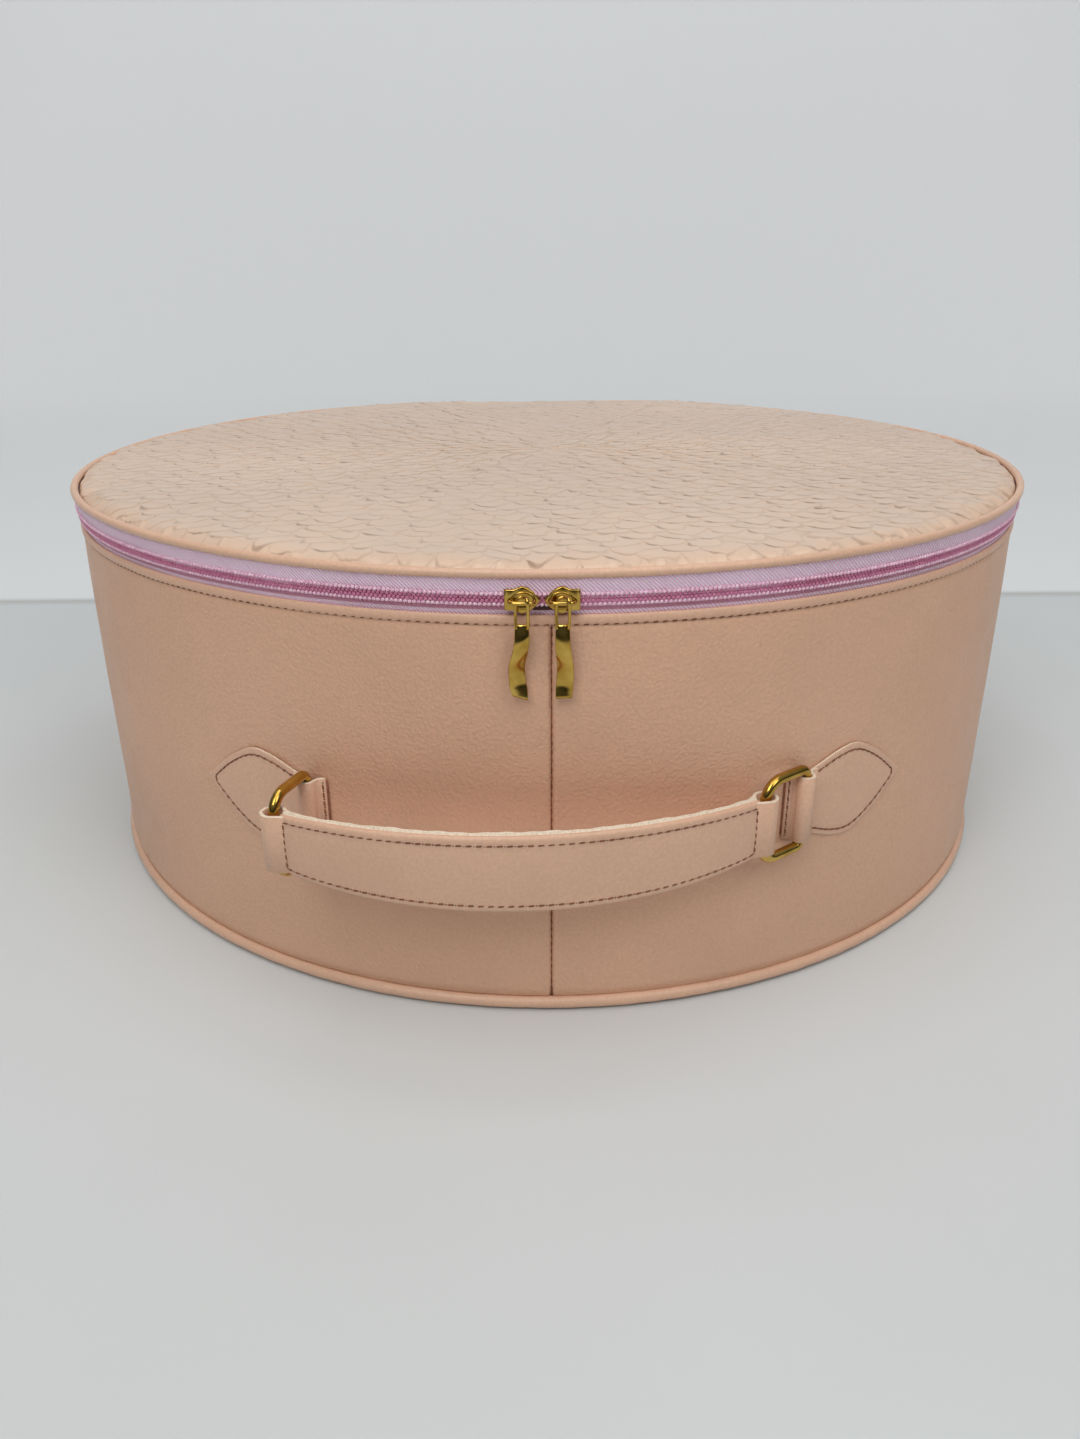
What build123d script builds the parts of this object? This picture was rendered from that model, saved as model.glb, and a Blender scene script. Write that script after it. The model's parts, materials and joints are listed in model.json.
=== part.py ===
from build123d import *
import math
import os

# Round zip-around beauty case with a padded lid and a carry strap on two D-rings.
# Millimetres. +Z is up, the front faces -Y, and the origin is the centre of the
# underside. The plan outline is a circle cut flat at the hinge side.

# ---------------------------------------------------------------- driving sizes
CASE_RADIUS = 200.0        # outside of the wall covering
HINGE_FLAT_WIDTH = 150.0   # width of the flat at the back, before its corners are rounded
HINGE_CORNER_RADIUS = 12.0
SHARP_CORNER = 0.2         # inner layers whose corner would be rounder than this stay rounded
WALL_TOP = 141.5           # top of the hemmed wall covering
ZIP_BAND = 11.2            # height of zip showing between the hem and the lid seam
LID_TOP = 157.0            # highest point of the padded lid

SEWN_GAP = 0.1             # between layers that are sewn or glued together

# wall layers, from outside to inside
SKIN_THICKNESS = 1.2
TAPE_THICKNESS = 0.6
WALL_FOAM_THICKNESS = 2.0
WALL_BOARD_THICKNESS = 2.0
LINING_THICKNESS = 0.8

# base layers
BASE_SKIN_THICKNESS = 1.2
BASE_BOARD_THICKNESS = 3.0
BASE_FOAM_THICKNESS = 3.0

# lid layers
LID_BOARD_THICKNESS = 2.0
LID_LINING_THICKNESS = 0.6
LID_SKIN_THICKNESS = 1.0
LID_EDGE_ROUND = 2.2
LID_CREST_ROUND = 1.2

# piping: a leatherette sleeve round a cord, with a flange sewn into the seam
PIPING_RADIUS = 2.2
PIPING_SLEEVE_THICKNESS = 0.6
PIPING_CORD_CLEARANCE = 0.1
PIPING_FLANGE_THICKNESS = 0.5
LID_PIPING_OVERHANG = 1.8  # piping centre line outside the wall covering
BASE_PIPING_INSET = 1.1    # piping centre line inside the wall covering
BASE_PIPING_HEIGHT = 2.9   # piping centre line above the ground
SEAM_ALLOWANCE = 11.0      # width of tape and flange turned in under a seam

# zip
COIL_HEIGHT = 2.0
COIL_THICKNESS = 1.2
COIL_GAP = 1.0             # between the two rows, where the slider's post runs
TAPE_SEWN_DEPTH = 15.0     # lower tape hidden behind the wall covering
SLIDER_LENGTH = 10.6
SLIDER_HEIGHT = 8.8
SLIDER_PLATE = 1.2
SLIDER_CLEARANCE = 0.25
SLIDER_GAP_CENTRE = -4.7   # middle of the gap between the two noses, along the front
SLIDER_NOSE_GAP = 1.0
SLIDER_TRAVEL_DEG = 148.0

# zip pulls
BAIL_RADIUS = 0.7
BAIL_STANDOFF = 3.2        # bail axis in front of the slider's face
PULL_LENGTH = 29.9         # bail axis to tip
PULL_WIDTH = 5.5
PULL_THICKNESS = 1.2
EYE_WIRE = 0.8
EYE_LENGTH = 7.5           # bail axis to the solid part of the pull
BAIL_TO_EYE = 0.25

# D-rings
RING_WIRE_RADIUS = 1.75
RING_INSIDE_HEIGHT = 25.0
RING_REACH = 19.0          # bar centre to the centre of the far side
RING_CORNER_AT_BAR = 3.0
RING_CORNER_AT_STRAP = 6.5
RING_HEIGHT_ON_WALL = 70.5
RING_BEARING = 23.5        # degrees round the wall from the front to each bar
RING_LEFT_ANGLE = -112.0   # plan direction from the bar to the far side, from +X
RING_RIGHT_ANGLE = -144.0

# tabs that hold the rings
TAB_THICKNESS = 1.3
TAB_LOOP_CLEARANCE = 0.2
TAB_TO_WALL = 0.1
TAB_END_PLAY = 0.7         # between the loop's edges and the inside of the ring
TAB_SHOULDER_AT = 21.0     # round the wall from the bar
TAB_SHOULDER_HALF = 17.0
TAB_TIP_AT = 45.0
TAB_NECK_AT = 9.0

# carry strap
STRAP_PLY = 1.4
STRAP_PAD = 1.4
STRAP_MIDDLE_WIDTH = 26.0
STRAP_END_WIDTH = 20.0
STRAP_RISE = 25.0          # how far the strap bows away from its chord
STRAP_LOOP_CLEARANCE = 1.35
STRAP_LOOP_PLY = 1.3
STRAP_FACE_START = 6.0     # strap face begins this far from the ring

# ---------------------------------------------------------------- derived sizes
FLAT_Y = math.sqrt(CASE_RADIUS**2 - (HINGE_FLAT_WIDTH / 2) ** 2)
LID_SEAM = WALL_TOP + ZIP_BAND
ZIP_CENTRE = WALL_TOP + 4.9

TAPE_OUT = SKIN_THICKNESS + SEWN_GAP
TAPE_IN = TAPE_OUT + TAPE_THICKNESS
FOAM_OUT = TAPE_IN + SEWN_GAP
FOAM_IN = FOAM_OUT + WALL_FOAM_THICKNESS
BOARD_OUT = FOAM_IN + SEWN_GAP
BOARD_IN = BOARD_OUT + WALL_BOARD_THICKNESS
LINING_OUT = BOARD_IN + SEWN_GAP
LINING_IN = LINING_OUT + LINING_THICKNESS
INSIDE = LINING_IN + SEWN_GAP
FLANGE_IN = TAPE_OUT + SEAM_ALLOWANCE

BASE_FLANGE_Z = BASE_SKIN_THICKNESS + SEWN_GAP
BASE_BOARD_Z = BASE_FLANGE_Z + PIPING_FLANGE_THICKNESS + SEWN_GAP
BASE_FOAM_Z = BASE_BOARD_Z + BASE_BOARD_THICKNESS + SEWN_GAP
BASE_LINING_Z = BASE_FOAM_Z + BASE_FOAM_THICKNESS + SEWN_GAP
BASE_EDGE = BASE_PIPING_INSET + PIPING_RADIUS + 3 * SEWN_GAP
WALL_BOTTOM = BASE_PIPING_HEIGHT + PIPING_RADIUS + 2 * SEWN_GAP
WALL_LAYER_TOP = WALL_TOP - 2 * SEWN_GAP

LID_FLANGE_Z = LID_SEAM + TAPE_THICKNESS + SEWN_GAP
LID_FOAM_Z = LID_FLANGE_Z + PIPING_FLANGE_THICKNESS + SEWN_GAP
LID_PIPING_Z = LID_FLANGE_Z + PIPING_FLANGE_THICKNESS / 2
LID_BOARD_Z = LID_SEAM - SEWN_GAP - LID_BOARD_THICKNESS
LID_LINING_Z = LID_BOARD_Z - SEWN_GAP - LID_LINING_THICKNESS
LID_PANEL_EDGE = PIPING_RADIUS - LID_PIPING_OVERHANG + 4 * SEWN_GAP
LID_FOAM_EDGE = LID_PANEL_EDGE + LID_SKIN_THICKNESS + SEWN_GAP

COIL_OUT = TAPE_OUT - SEWN_GAP / 2 - COIL_THICKNESS
COIL_IN = TAPE_OUT - SEWN_GAP / 2
HINGE_STRIP_HALF = HINGE_FLAT_WIDTH / 2 - 3.0
HINGE_Z = (WALL_TOP + LID_SEAM) / 2

SLIDER_FACE_IN = CASE_RADIUS - COIL_OUT + SLIDER_CLEARANCE
SLIDER_FACE_OUT = SLIDER_FACE_IN + SLIDER_PLATE
SLIDER_BACK_OUT = CASE_RADIUS - TAPE_IN - SLIDER_CLEARANCE
SLIDER_BACK_IN = SLIDER_BACK_OUT - SLIDER_PLATE
LID_INNER_EDGE = CASE_RADIUS - SLIDER_BACK_IN + 4 * SLIDER_CLEARANCE
BAIL_U = SLIDER_FACE_OUT + BAIL_STANDOFF

RING_HALF_HEIGHT = RING_INSIDE_HEIGHT / 2 + RING_WIRE_RADIUS
TAB_LOOP_IN = RING_WIRE_RADIUS + TAB_LOOP_CLEARANCE
TAB_LOOP_OUT = TAB_LOOP_IN + TAB_THICKNESS
RING_BAR_RADIUS = CASE_RADIUS + TAB_TO_WALL + TAB_LOOP_OUT + SEWN_GAP
STRAP_LOOP_IN = RING_WIRE_RADIUS + STRAP_LOOP_CLEARANCE
STRAP_LOOP_OUT = STRAP_LOOP_IN + STRAP_LOOP_PLY


# ---------------------------------------------------------------- plan outline
def outline(inset):
    """Plan outline of the case, moved inwards by inset (outwards when negative)."""
    radius = CASE_RADIUS - inset
    flat = FLAT_Y - inset
    face = Circle(radius) - Pos(0, flat + radius) * Rectangle(2 * radius, 2 * radius)
    corners = face.vertices().filter_by(lambda v: v.Y > flat - 1e-3)
    corners = corners.filter_by(lambda v: abs(v.X) > 1.0)
    corner_radius = HINGE_CORNER_RADIUS - inset
    return fillet(corners, corner_radius) if corner_radius > SHARP_CORNER else face


def plate(inset, bottom, top):
    """Solid sheet of the plan outline between two heights."""
    return Pos(0, 0, bottom) * extrude(outline(inset), top - bottom)


def band(inset_out, inset_in, bottom, top):
    """Wall that follows the plan outline between two insets."""
    return plate(inset_out, bottom, top) - plate(inset_in, bottom - 1, top + 1)


def hinge_zone(half_width):
    """Block over the flat at the back, half_width to each side of the middle."""
    return Box(2 * half_width, 2 * FLAT_Y, 4 * LID_TOP, align=(Align.CENTER, Align.MIN, Align.CENTER))


def bead(inset, height, radius):
    """Round cord along the plan outline."""
    path = Pos(0, 0, height) * outline(inset).face().outer_wire()
    start = path @ 0
    section = Plane(origin=start, z_dir=path % 0) * Circle(radius)
    return sweep(section, path=path)


# ---------------------------------------------------------------- wall and base
SEAM_X = -2.0


def wall_parts():
    skin = band(0, SKIN_THICKNESS, WALL_BOTTOM, WALL_TOP)
    side = Box(2 * CASE_RADIUS, 4 * CASE_RADIUS, 4 * LID_TOP)
    left = skin & Pos(SEAM_X - SEWN_GAP / 2 - CASE_RADIUS, 0, 0) * side
    right = skin & Pos(SEAM_X + SEWN_GAP / 2 + CASE_RADIUS, 0, 0) * side
    return {
        "wall_skin_left": left,
        "wall_skin_right": right,
        "wall_foam": band(FOAM_OUT, FOAM_IN, WALL_BOTTOM, WALL_LAYER_TOP),
        "wall_board": band(BOARD_OUT, BOARD_IN, BASE_FOAM_Z, WALL_LAYER_TOP),
        "wall_lining": band(LINING_OUT, LINING_IN, BASE_FOAM_Z, WALL_LAYER_TOP),
    }


def base_parts():
    return {
        "base_skin": plate(BASE_EDGE - SEWN_GAP, 0, BASE_SKIN_THICKNESS),
        "base_board": plate(BASE_EDGE, BASE_BOARD_Z, BASE_BOARD_Z + BASE_BOARD_THICKNESS),
        "base_foam": plate(INSIDE, BASE_FOAM_Z, BASE_FOAM_Z + BASE_FOAM_THICKNESS),
        "base_lining": plate(INSIDE, BASE_LINING_Z, BASE_LINING_Z + LINING_THICKNESS),
    }


def piping(centre_inset, height, flange_bottom):
    """Sleeve with its flange, and the cord inside it."""
    hollow = PIPING_RADIUS - PIPING_SLEEVE_THICKNESS
    tube = bead(centre_inset, height, PIPING_RADIUS) - bead(centre_inset, height, hollow)
    flange_out = centre_inset + PIPING_RADIUS - PIPING_SLEEVE_THICKNESS / 2
    flange = band(flange_out, FLANGE_IN, flange_bottom, flange_bottom + PIPING_FLANGE_THICKNESS)
    cord = bead(centre_inset, height, hollow - PIPING_CORD_CLEARANCE)
    return tube + flange, cord


# ---------------------------------------------------------------- zip and hinge
def zip_parts():
    half_gap = COIL_GAP / 2
    low = ZIP_CENTRE - half_gap
    high = ZIP_CENTRE + half_gap
    hinge = hinge_zone(HINGE_STRIP_HALF + 2 * SEWN_GAP)
    leg = band(TAPE_OUT, TAPE_IN, high, LID_SEAM + TAPE_THICKNESS) - hinge
    turned_in = band(TAPE_OUT, FLANGE_IN, LID_SEAM, LID_SEAM + TAPE_THICKNESS)
    return {
        "zip_tape_lower": band(TAPE_OUT, TAPE_IN, WALL_TOP - TAPE_SEWN_DEPTH, low) - hinge,
        "zip_coil_lower": band(COIL_OUT, COIL_IN, low - COIL_HEIGHT, low) - hinge,
        "zip_tape_upper": leg + turned_in,
        "zip_coil_upper": band(COIL_OUT, COIL_IN, high, high + COIL_HEIGHT) - hinge,
    }


def hinge_parts():
    """Strip sewn behind the wall covering and up to the lid seam, and its lining."""
    zone = hinge_zone(HINGE_STRIP_HALF)
    strip = band(TAPE_OUT, TAPE_IN, WALL_TOP - TAPE_SEWN_DEPTH, LID_SEAM - SEWN_GAP) & zone
    lining_out = TAPE_IN + SEWN_GAP
    lining = band(lining_out, lining_out + TAPE_THICKNESS, WALL_TOP, LID_SEAM - SEWN_GAP) & zone
    return {"hinge_strip": strip, "hinge_lining": lining}


# ---------------------------------------------------------------- lid
def lid_parts():
    shell = plate(LID_PANEL_EDGE, LID_FOAM_Z, LID_TOP)
    rim = shell.faces().sort_by(Axis.Z)[-1].edges()
    shell = fillet(rim, LID_EDGE_ROUND)
    hollow = plate(LID_PANEL_EDGE + LID_SKIN_THICKNESS, LID_FOAM_Z - 1, LID_TOP - LID_SKIN_THICKNESS)
    crest = hollow.faces().sort_by(Axis.Z)[-1].edges()
    hollow = fillet(crest, LID_CREST_ROUND)
    foam = plate(LID_FOAM_EDGE, LID_FOAM_Z, LID_TOP - LID_SKIN_THICKNESS - SEWN_GAP)
    foam = fillet(foam.faces().sort_by(Axis.Z)[-1].edges(), LID_CREST_ROUND)
    core_bottom = LID_BOARD_Z + LID_BOARD_THICKNESS + SEWN_GAP
    core = plate(FLANGE_IN + SEWN_GAP, core_bottom, LID_FOAM_Z)
    return {
        "lid_skin": shell - hollow,
        "lid_foam": foam + core,
        "lid_board": plate(LID_INNER_EDGE, LID_BOARD_Z, LID_BOARD_Z + LID_BOARD_THICKNESS),
        "lid_lining": plate(LID_INNER_EDGE, LID_LINING_Z, LID_LINING_Z + LID_LINING_THICKNESS),
    }


# ---------------------------------------------------------------- sliders and pulls
# Both are drawn at the front of the case with x along the zip towards the nose,
# and u the distance out from the middle of the case, which is -Y.
def block(x0, x1, u0, u1, z0, z1):
    size = (x1 - x0, u1 - u0, z1 - z0)
    centre = ((x0 + x1) / 2, -(u0 + u1) / 2, (z0 + z1) / 2)
    return Pos(*centre) * Box(*size)


def slider_plate(u0, u1):
    """Plate with a square tail and a leaf-shaped nose."""
    half_l = SLIDER_LENGTH / 2
    half_h = SLIDER_HEIGHT / 2
    shoulder = 0.34 * half_l
    neck = 0.80 * half_h
    with BuildSketch(Plane.XZ) as shape:
        with BuildLine():
            Polyline((-half_l, 0), (-half_l, neck), (-shoulder, neck), (0, half_h))
            ThreePointArc((0, half_h), (0.62 * half_l, 0.66 * half_h), (half_l, 0))
            ThreePointArc((half_l, 0), (0.62 * half_l, -0.66 * half_h), (0, -half_h))
            Polyline((0, -half_h), (-shoulder, -neck), (-half_l, -neck), (-half_l, 0))
        make_face()
    return Pos(0, -u0, ZIP_CENTRE) * extrude(shape.sketch, u1 - u0)


def slider():
    half_l = SLIDER_LENGTH / 2
    half_h = SLIDER_HEIGHT / 2
    front = slider_plate(SLIDER_FACE_IN, SLIDER_FACE_OUT)
    back = slider_plate(SLIDER_BACK_IN, SLIDER_BACK_OUT)
    post_half = COIL_GAP / 2 - 0.2
    post = block(1.2, 3.6, SLIDER_BACK_IN, SLIDER_FACE_OUT, ZIP_CENTRE - post_half, ZIP_CENTRE + post_half)
    lip_top = ZIP_CENTRE - COIL_GAP / 2 - COIL_HEIGHT - SLIDER_CLEARANCE
    lip_in = CASE_RADIUS - TAPE_OUT + SLIDER_CLEARANCE
    lip = block(-half_l, half_l * 0.4, lip_in, SLIDER_FACE_OUT, ZIP_CENTRE - 0.8 * half_h, lip_top)
    oval = Plane.XZ * Ellipse(0.72 * half_l, 0.62 * half_h)
    boss = Pos(0.3, -SLIDER_FACE_OUT, ZIP_CENTRE) * extrude(oval, 0.4)
    bail = Pos(0, -BAIL_U, ZIP_CENTRE) * Rot(0, 90, 0) * Cylinder(BAIL_RADIUS, 8.4)
    body = front + back + post + lip + boss + bail
    for x in (-3.6, 3.6):
        body += block(x - 0.6, x + 0.6, SLIDER_FACE_OUT - 0.2, BAIL_U, ZIP_CENTRE - 0.8, ZIP_CENTRE + 0.8)
    return body


def pull():
    """Flat pull whose eye hooks over the bail: one leg in front, one behind."""
    near = BAIL_RADIUS + BAIL_TO_EYE
    far = near + EYE_WIRE
    half_w = PULL_WIDTH / 2
    z = ZIP_CENTRE
    front_leg = block(half_w - 0.9, half_w, BAIL_U + near, BAIL_U + far, z - EYE_LENGTH, z + far)
    over = block(half_w - 0.9, half_w, BAIL_U - far, BAIL_U + far, z + near, z + far)
    behind = block(-half_w, half_w, BAIL_U - far, BAIL_U - near, z + near, z + far)
    back_leg = block(-half_w, 0.9 - half_w, BAIL_U - far, BAIL_U - near, z - EYE_LENGTH, z + far)
    yoke = block(-half_w, half_w, BAIL_U - far, BAIL_U + far, z - EYE_LENGTH - 1.0, z - EYE_LENGTH)
    blade_in = BAIL_U - PULL_THICKNESS / 2
    blade_out = blade_in + PULL_THICKNESS
    blade = block(-half_w, half_w, blade_in, blade_out, z - PULL_LENGTH, z - EYE_LENGTH)
    return front_leg + over + behind + back_leg + yoke + blade


def slider_centre(side):
    """Plan angle of a slider from the front, in degrees; side is -1 left, 1 right."""
    arc = SLIDER_GAP_CENTRE + side * (SLIDER_NOSE_GAP + SLIDER_LENGTH) / 2
    return math.degrees(arc / CASE_RADIUS)


def slider_parts():
    parts = {}
    for name, side in (("left", -1), ("right", 1)):
        turn = Rot(0, 0, slider_centre(side))
        body = slider()
        if side > 0:
            body = mirror(body, Plane.YZ)
        parts["slider_" + name] = turn * body
        parts["pull_" + name] = turn * pull()
    return parts


# ---------------------------------------------------------------- rings, tabs, strap
def bar_point(side):
    bearing = math.radians(RING_BEARING)
    return Vector(side * RING_BAR_RADIUS * math.sin(bearing), -RING_BAR_RADIUS * math.cos(bearing))


def ring_end(side):
    angle = math.radians(RING_LEFT_ANGLE if side < 0 else RING_RIGHT_ANGLE)
    reach = Vector(RING_REACH * math.cos(angle), RING_REACH * math.sin(angle))
    return bar_point(side) + reach


def ring(side):
    """D-ring drawn in the XZ plane with its bar on the Z axis, then turned into place."""
    h = RING_HALF_HEIGHT
    corners = [(0, 0, -h), (RING_REACH, 0, -h), (RING_REACH, 0, h), (0, 0, h)]
    radii = [RING_CORNER_AT_BAR, RING_CORNER_AT_STRAP, RING_CORNER_AT_STRAP, RING_CORNER_AT_BAR]
    path = FilletPolyline(*corners, radius=radii, close=True)
    section = Plane(origin=path @ 0, z_dir=path % 0) * Circle(RING_WIRE_RADIUS)
    wire = sweep(section, path=path)
    angle = RING_LEFT_ANGLE if side < 0 else RING_RIGHT_ANGLE
    at = bar_point(side)
    return Pos(at.X, at.Y, RING_HEIGHT_ON_WALL) * Rot(0, 0, angle) * wire


def tab(side):
    """Leaf sewn flat to the wall with a loop round the ring's bar."""
    half = RING_INSIDE_HEIGHT / 2 - TAB_END_PLAY
    with BuildSketch(Plane.XZ) as leaf:
        with BuildLine():
            Line((TAB_NECK_AT - 2, half), (TAB_NECK_AT - 2, -half))
            for s in (1, -1):
                neck = (TAB_NECK_AT - 2, s * half)
                shoulder = (TAB_SHOULDER_AT, s * TAB_SHOULDER_HALF)
                tip = (TAB_TIP_AT, 0)
                rise = ((neck[0] + shoulder[0]) / 2, s * (half + TAB_SHOULDER_HALF + 1.6) / 2)
                fall = ((shoulder[0] + tip[0]) / 2 + 1.2, s * (TAB_SHOULDER_HALF / 2 + 1.6))
                ThreePointArc(neck, rise, shoulder)
                ThreePointArc(shoulder, fall, tip)
        make_face()
    start = CASE_RADIUS - 30.0
    blank = Pos(0, -start, 0) * extrude(leaf.sketch, 60.0)
    leaf_in = CASE_RADIUS + TAB_TO_WALL
    shell = Cylinder(leaf_in + TAB_THICKNESS, 3 * TAB_SHOULDER_HALF) - Cylinder(leaf_in, 4 * TAB_SHOULDER_HALF)
    flat_part = blank & shell
    with BuildSketch() as wedge:
        Polygon(
            (0, -RING_BAR_RADIUS - TAB_LOOP_OUT),
            (TAB_NECK_AT, -leaf_in - TAB_THICKNESS + 0.2),
            (TAB_NECK_AT, -leaf_in + 0.4),
            (0, -RING_BAR_RADIUS + TAB_LOOP_OUT),
            align=None,
        )
        with Locations((0, -RING_BAR_RADIUS)):
            Circle(TAB_LOOP_OUT)
            Circle(TAB_LOOP_IN, mode=Mode.SUBTRACT)
    loop = Pos(0, 0, -half) * extrude(wedge.sketch, 2 * half)
    loop -= Cylinder(leaf_in, 4 * half)
    body = Pos(0, 0, RING_HEIGHT_ON_WALL) * Rot(0, 0, RING_BEARING) * (flat_part + loop)
    return body if side > 0 else mirror(body, Plane.YZ)


def strap_frame():
    """Chord length, its angle in degrees and its middle, between the two ring ends."""
    left = ring_end(-1)
    right = ring_end(1)
    span = right - left
    return span.length, math.degrees(math.atan2(span.Y, span.X)), (left + right) * 0.5


def strap_parts():
    """Three layers bowed away from the wall, and a loop round each ring's far side."""
    chord, angle, middle = strap_frame()
    half = chord / 2
    bow = (half**2 + STRAP_RISE**2) / (2 * STRAP_RISE)
    centre_y = bow - STRAP_RISE
    # widths taper from the middle to the ends
    mid_h = STRAP_MIDDLE_WIDTH / 2
    end_h = STRAP_END_WIDTH / 2
    with BuildSketch(Plane.XZ) as face:
        with BuildLine():
            ThreePointArc((-half, end_h), (0, mid_h), (half, end_h))
            Line((half, end_h), (half, -end_h))
            ThreePointArc((half, -end_h), (0, -mid_h), (-half, -end_h))
            Line((-half, -end_h), (-half, end_h))
        make_face()
    blank = extrude(face.sketch, 2 * STRAP_RISE)

    def layer(inner, outer, start):
        shell = Cylinder(bow + outer, 2 * mid_h + 2) - Cylinder(bow + inner, 2 * mid_h + 4)
        trimmed = blank & (Pos(0, centre_y, 0) * shell)
        for s in (-1, 1):
            trimmed -= Pos(s * half, 0, 0) * Box(2 * start, 4 * STRAP_RISE, 4 * mid_h)
        return trimmed

    back_in = -STRAP_PAD / 2 - SEWN_GAP - STRAP_PLY
    back = layer(back_in, back_in + STRAP_PLY, 0.5 * STRAP_LOOP_OUT)
    for s in (-1, 1):
        back += Pos(s * half, 0, 0) * Cylinder(STRAP_LOOP_OUT, STRAP_END_WIDTH)
    for s in (-1, 1):
        back -= Pos(s * half, 0, 0) * Cylinder(STRAP_LOOP_IN, 2 * STRAP_END_WIDTH)
    pad = layer(-STRAP_PAD / 2, STRAP_PAD / 2, STRAP_FACE_START)
    front = layer(STRAP_PAD / 2 + SEWN_GAP, STRAP_PAD / 2 + SEWN_GAP + STRAP_PLY, STRAP_FACE_START)
    place = Pos(middle.X, middle.Y, RING_HEIGHT_ON_WALL) * Rot(0, 0, angle)
    return {
        "handle_back_strap": place * back,
        "handle_pad": place * pad,
        "handle_cover": place * front,
    }


# ---------------------------------------------------------------- build
def build():
    parts = {}
    parts.update(wall_parts())
    parts.update(base_parts())
    base_sleeve, base_cord = piping(BASE_PIPING_INSET, BASE_PIPING_HEIGHT, BASE_FLANGE_Z)
    parts["base_piping_sleeve"] = base_sleeve
    parts["base_piping_cord"] = base_cord
    parts.update(zip_parts())
    parts.update(hinge_parts())
    parts.update(lid_parts())
    lid_sleeve, lid_cord = piping(-LID_PIPING_OVERHANG, LID_PIPING_Z, LID_FLANGE_Z)
    parts["lid_piping_sleeve"] = lid_sleeve
    parts["lid_piping_cord"] = lid_cord
    parts.update(slider_parts())
    for name, side in (("left", -1), ("right", 1)):
        parts["ring_" + name] = ring(side)
        parts["tab_" + name] = tab(side)
    parts.update(strap_parts())
    return parts


os.makedirs("parts", exist_ok=True)
for node, shape in build().items():
    export_step(shape, "parts/" + node + ".step")

# Joint axes, for whoever fits the hinges: bar centres, ring ends and strap chord.
for label, side in (("left", -1), ("right", 1)):
    print("bar", label, bar_point(side), "ring end", ring_end(side), "slider", slider_centre(side))
print("strap", strap_frame(), "hinge", FLAT_Y, HINGE_Z, "bail", BAIL_U, ZIP_CENTRE)
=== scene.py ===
import json
import math

import bmesh
import bpy
import numpy as np
from mathutils import Matrix, Vector, noise


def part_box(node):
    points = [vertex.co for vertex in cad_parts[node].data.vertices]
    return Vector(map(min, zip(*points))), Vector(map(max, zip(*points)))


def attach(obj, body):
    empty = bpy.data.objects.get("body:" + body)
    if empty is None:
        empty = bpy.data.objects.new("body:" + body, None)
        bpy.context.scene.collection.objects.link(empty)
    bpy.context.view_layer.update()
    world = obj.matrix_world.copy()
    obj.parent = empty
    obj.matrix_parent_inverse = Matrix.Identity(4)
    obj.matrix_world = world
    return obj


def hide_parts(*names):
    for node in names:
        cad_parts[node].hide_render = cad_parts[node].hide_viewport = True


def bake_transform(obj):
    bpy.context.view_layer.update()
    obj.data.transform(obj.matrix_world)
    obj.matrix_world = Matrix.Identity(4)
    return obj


# Round zip-around beauty case. Metres, +Z up, front towards -Y.
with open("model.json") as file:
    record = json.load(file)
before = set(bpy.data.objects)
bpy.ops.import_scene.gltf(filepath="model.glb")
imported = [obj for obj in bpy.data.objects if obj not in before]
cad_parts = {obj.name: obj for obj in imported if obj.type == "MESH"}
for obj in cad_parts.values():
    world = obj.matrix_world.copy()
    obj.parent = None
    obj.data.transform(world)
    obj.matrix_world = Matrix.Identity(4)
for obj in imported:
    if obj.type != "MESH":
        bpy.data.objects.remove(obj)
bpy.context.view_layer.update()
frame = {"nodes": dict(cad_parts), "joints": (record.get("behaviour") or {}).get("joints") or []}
MM = 0.001
RNG = np.random.default_rng(11)

# ------------------------------------------------------------ sizes from the frame
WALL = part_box("wall_skin_right")
RADIUS = WALL[1].x
FLAT_Y = WALL[1].y
RIM_Z = WALL[1].z
WALL_FOOT_Z = WALL[0].z
HINGE_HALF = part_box("hinge_strip")[1].x
LID_SEAM_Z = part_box("lid_skin")[0].z
LID_TOP_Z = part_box("lid_skin")[1].z
PANEL_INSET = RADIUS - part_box("lid_skin")[1].x
ZIP_Z = (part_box("zip_coil_lower")[1].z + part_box("zip_coil_upper")[0].z) / 2
TAPE_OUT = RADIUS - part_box("zip_tape_lower")[1].x
TAPE_LOW_Z = RIM_Z - 3 * MM
TAPE_TOP_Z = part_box("zip_tape_upper")[1].z
LID_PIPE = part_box("lid_piping_sleeve")
BASE_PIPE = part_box("base_piping_sleeve")
PIPE_RADIUS = (LID_PIPE[1].z - LID_PIPE[0].z) / 2
RING_Z = (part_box("ring_left")[0].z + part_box("ring_left")[1].z) / 2

# sizes that the frame doesn't hold
CORNER = 12 * MM           # rounding of the two corners beside the hinge
STITCH_PITCH = 2.95 * MM
HEM_DEPTH = 3.0 * MM       # rim down to its stitch line
SEAM_S = -2.0 * MM         # front seam, measured round the wall from the front
COIL_PITCH = 1.4 * MM
THREAD_RADIUS = 0.31 * MM
LID_PIPE_RADIUS = 1.45 * MM   # slimmer than the CAD sleeve, and clear of the zip's face
LID_PIPE_OUT = 0.45 * MM      # its centre, outside the wall's face
TAB_TILT = 0.035              # the tabs' tips stand a little high
PANEL_START = 1.5 * MM        # the lid panel dives into the seam inside the piping
PANEL_EDGE = 11.5 * MM        # how far in the panel's rings keep the outline's shape
WALL_THICKNESS = 0.9          # millimetres, as are the next two
HINGE_THICKNESS = 0.8
TAPE_THICKNESS = 0.5
CHAIN_END = 5 * MM            # the chain stops this far short of the tape's ends
RING_WIRE = 1.75              # radius of the D-rings' wire, in millimetres
BAIL_STANDOFF = 3.2 * MM      # pull's pivot out from the slider's face
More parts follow.
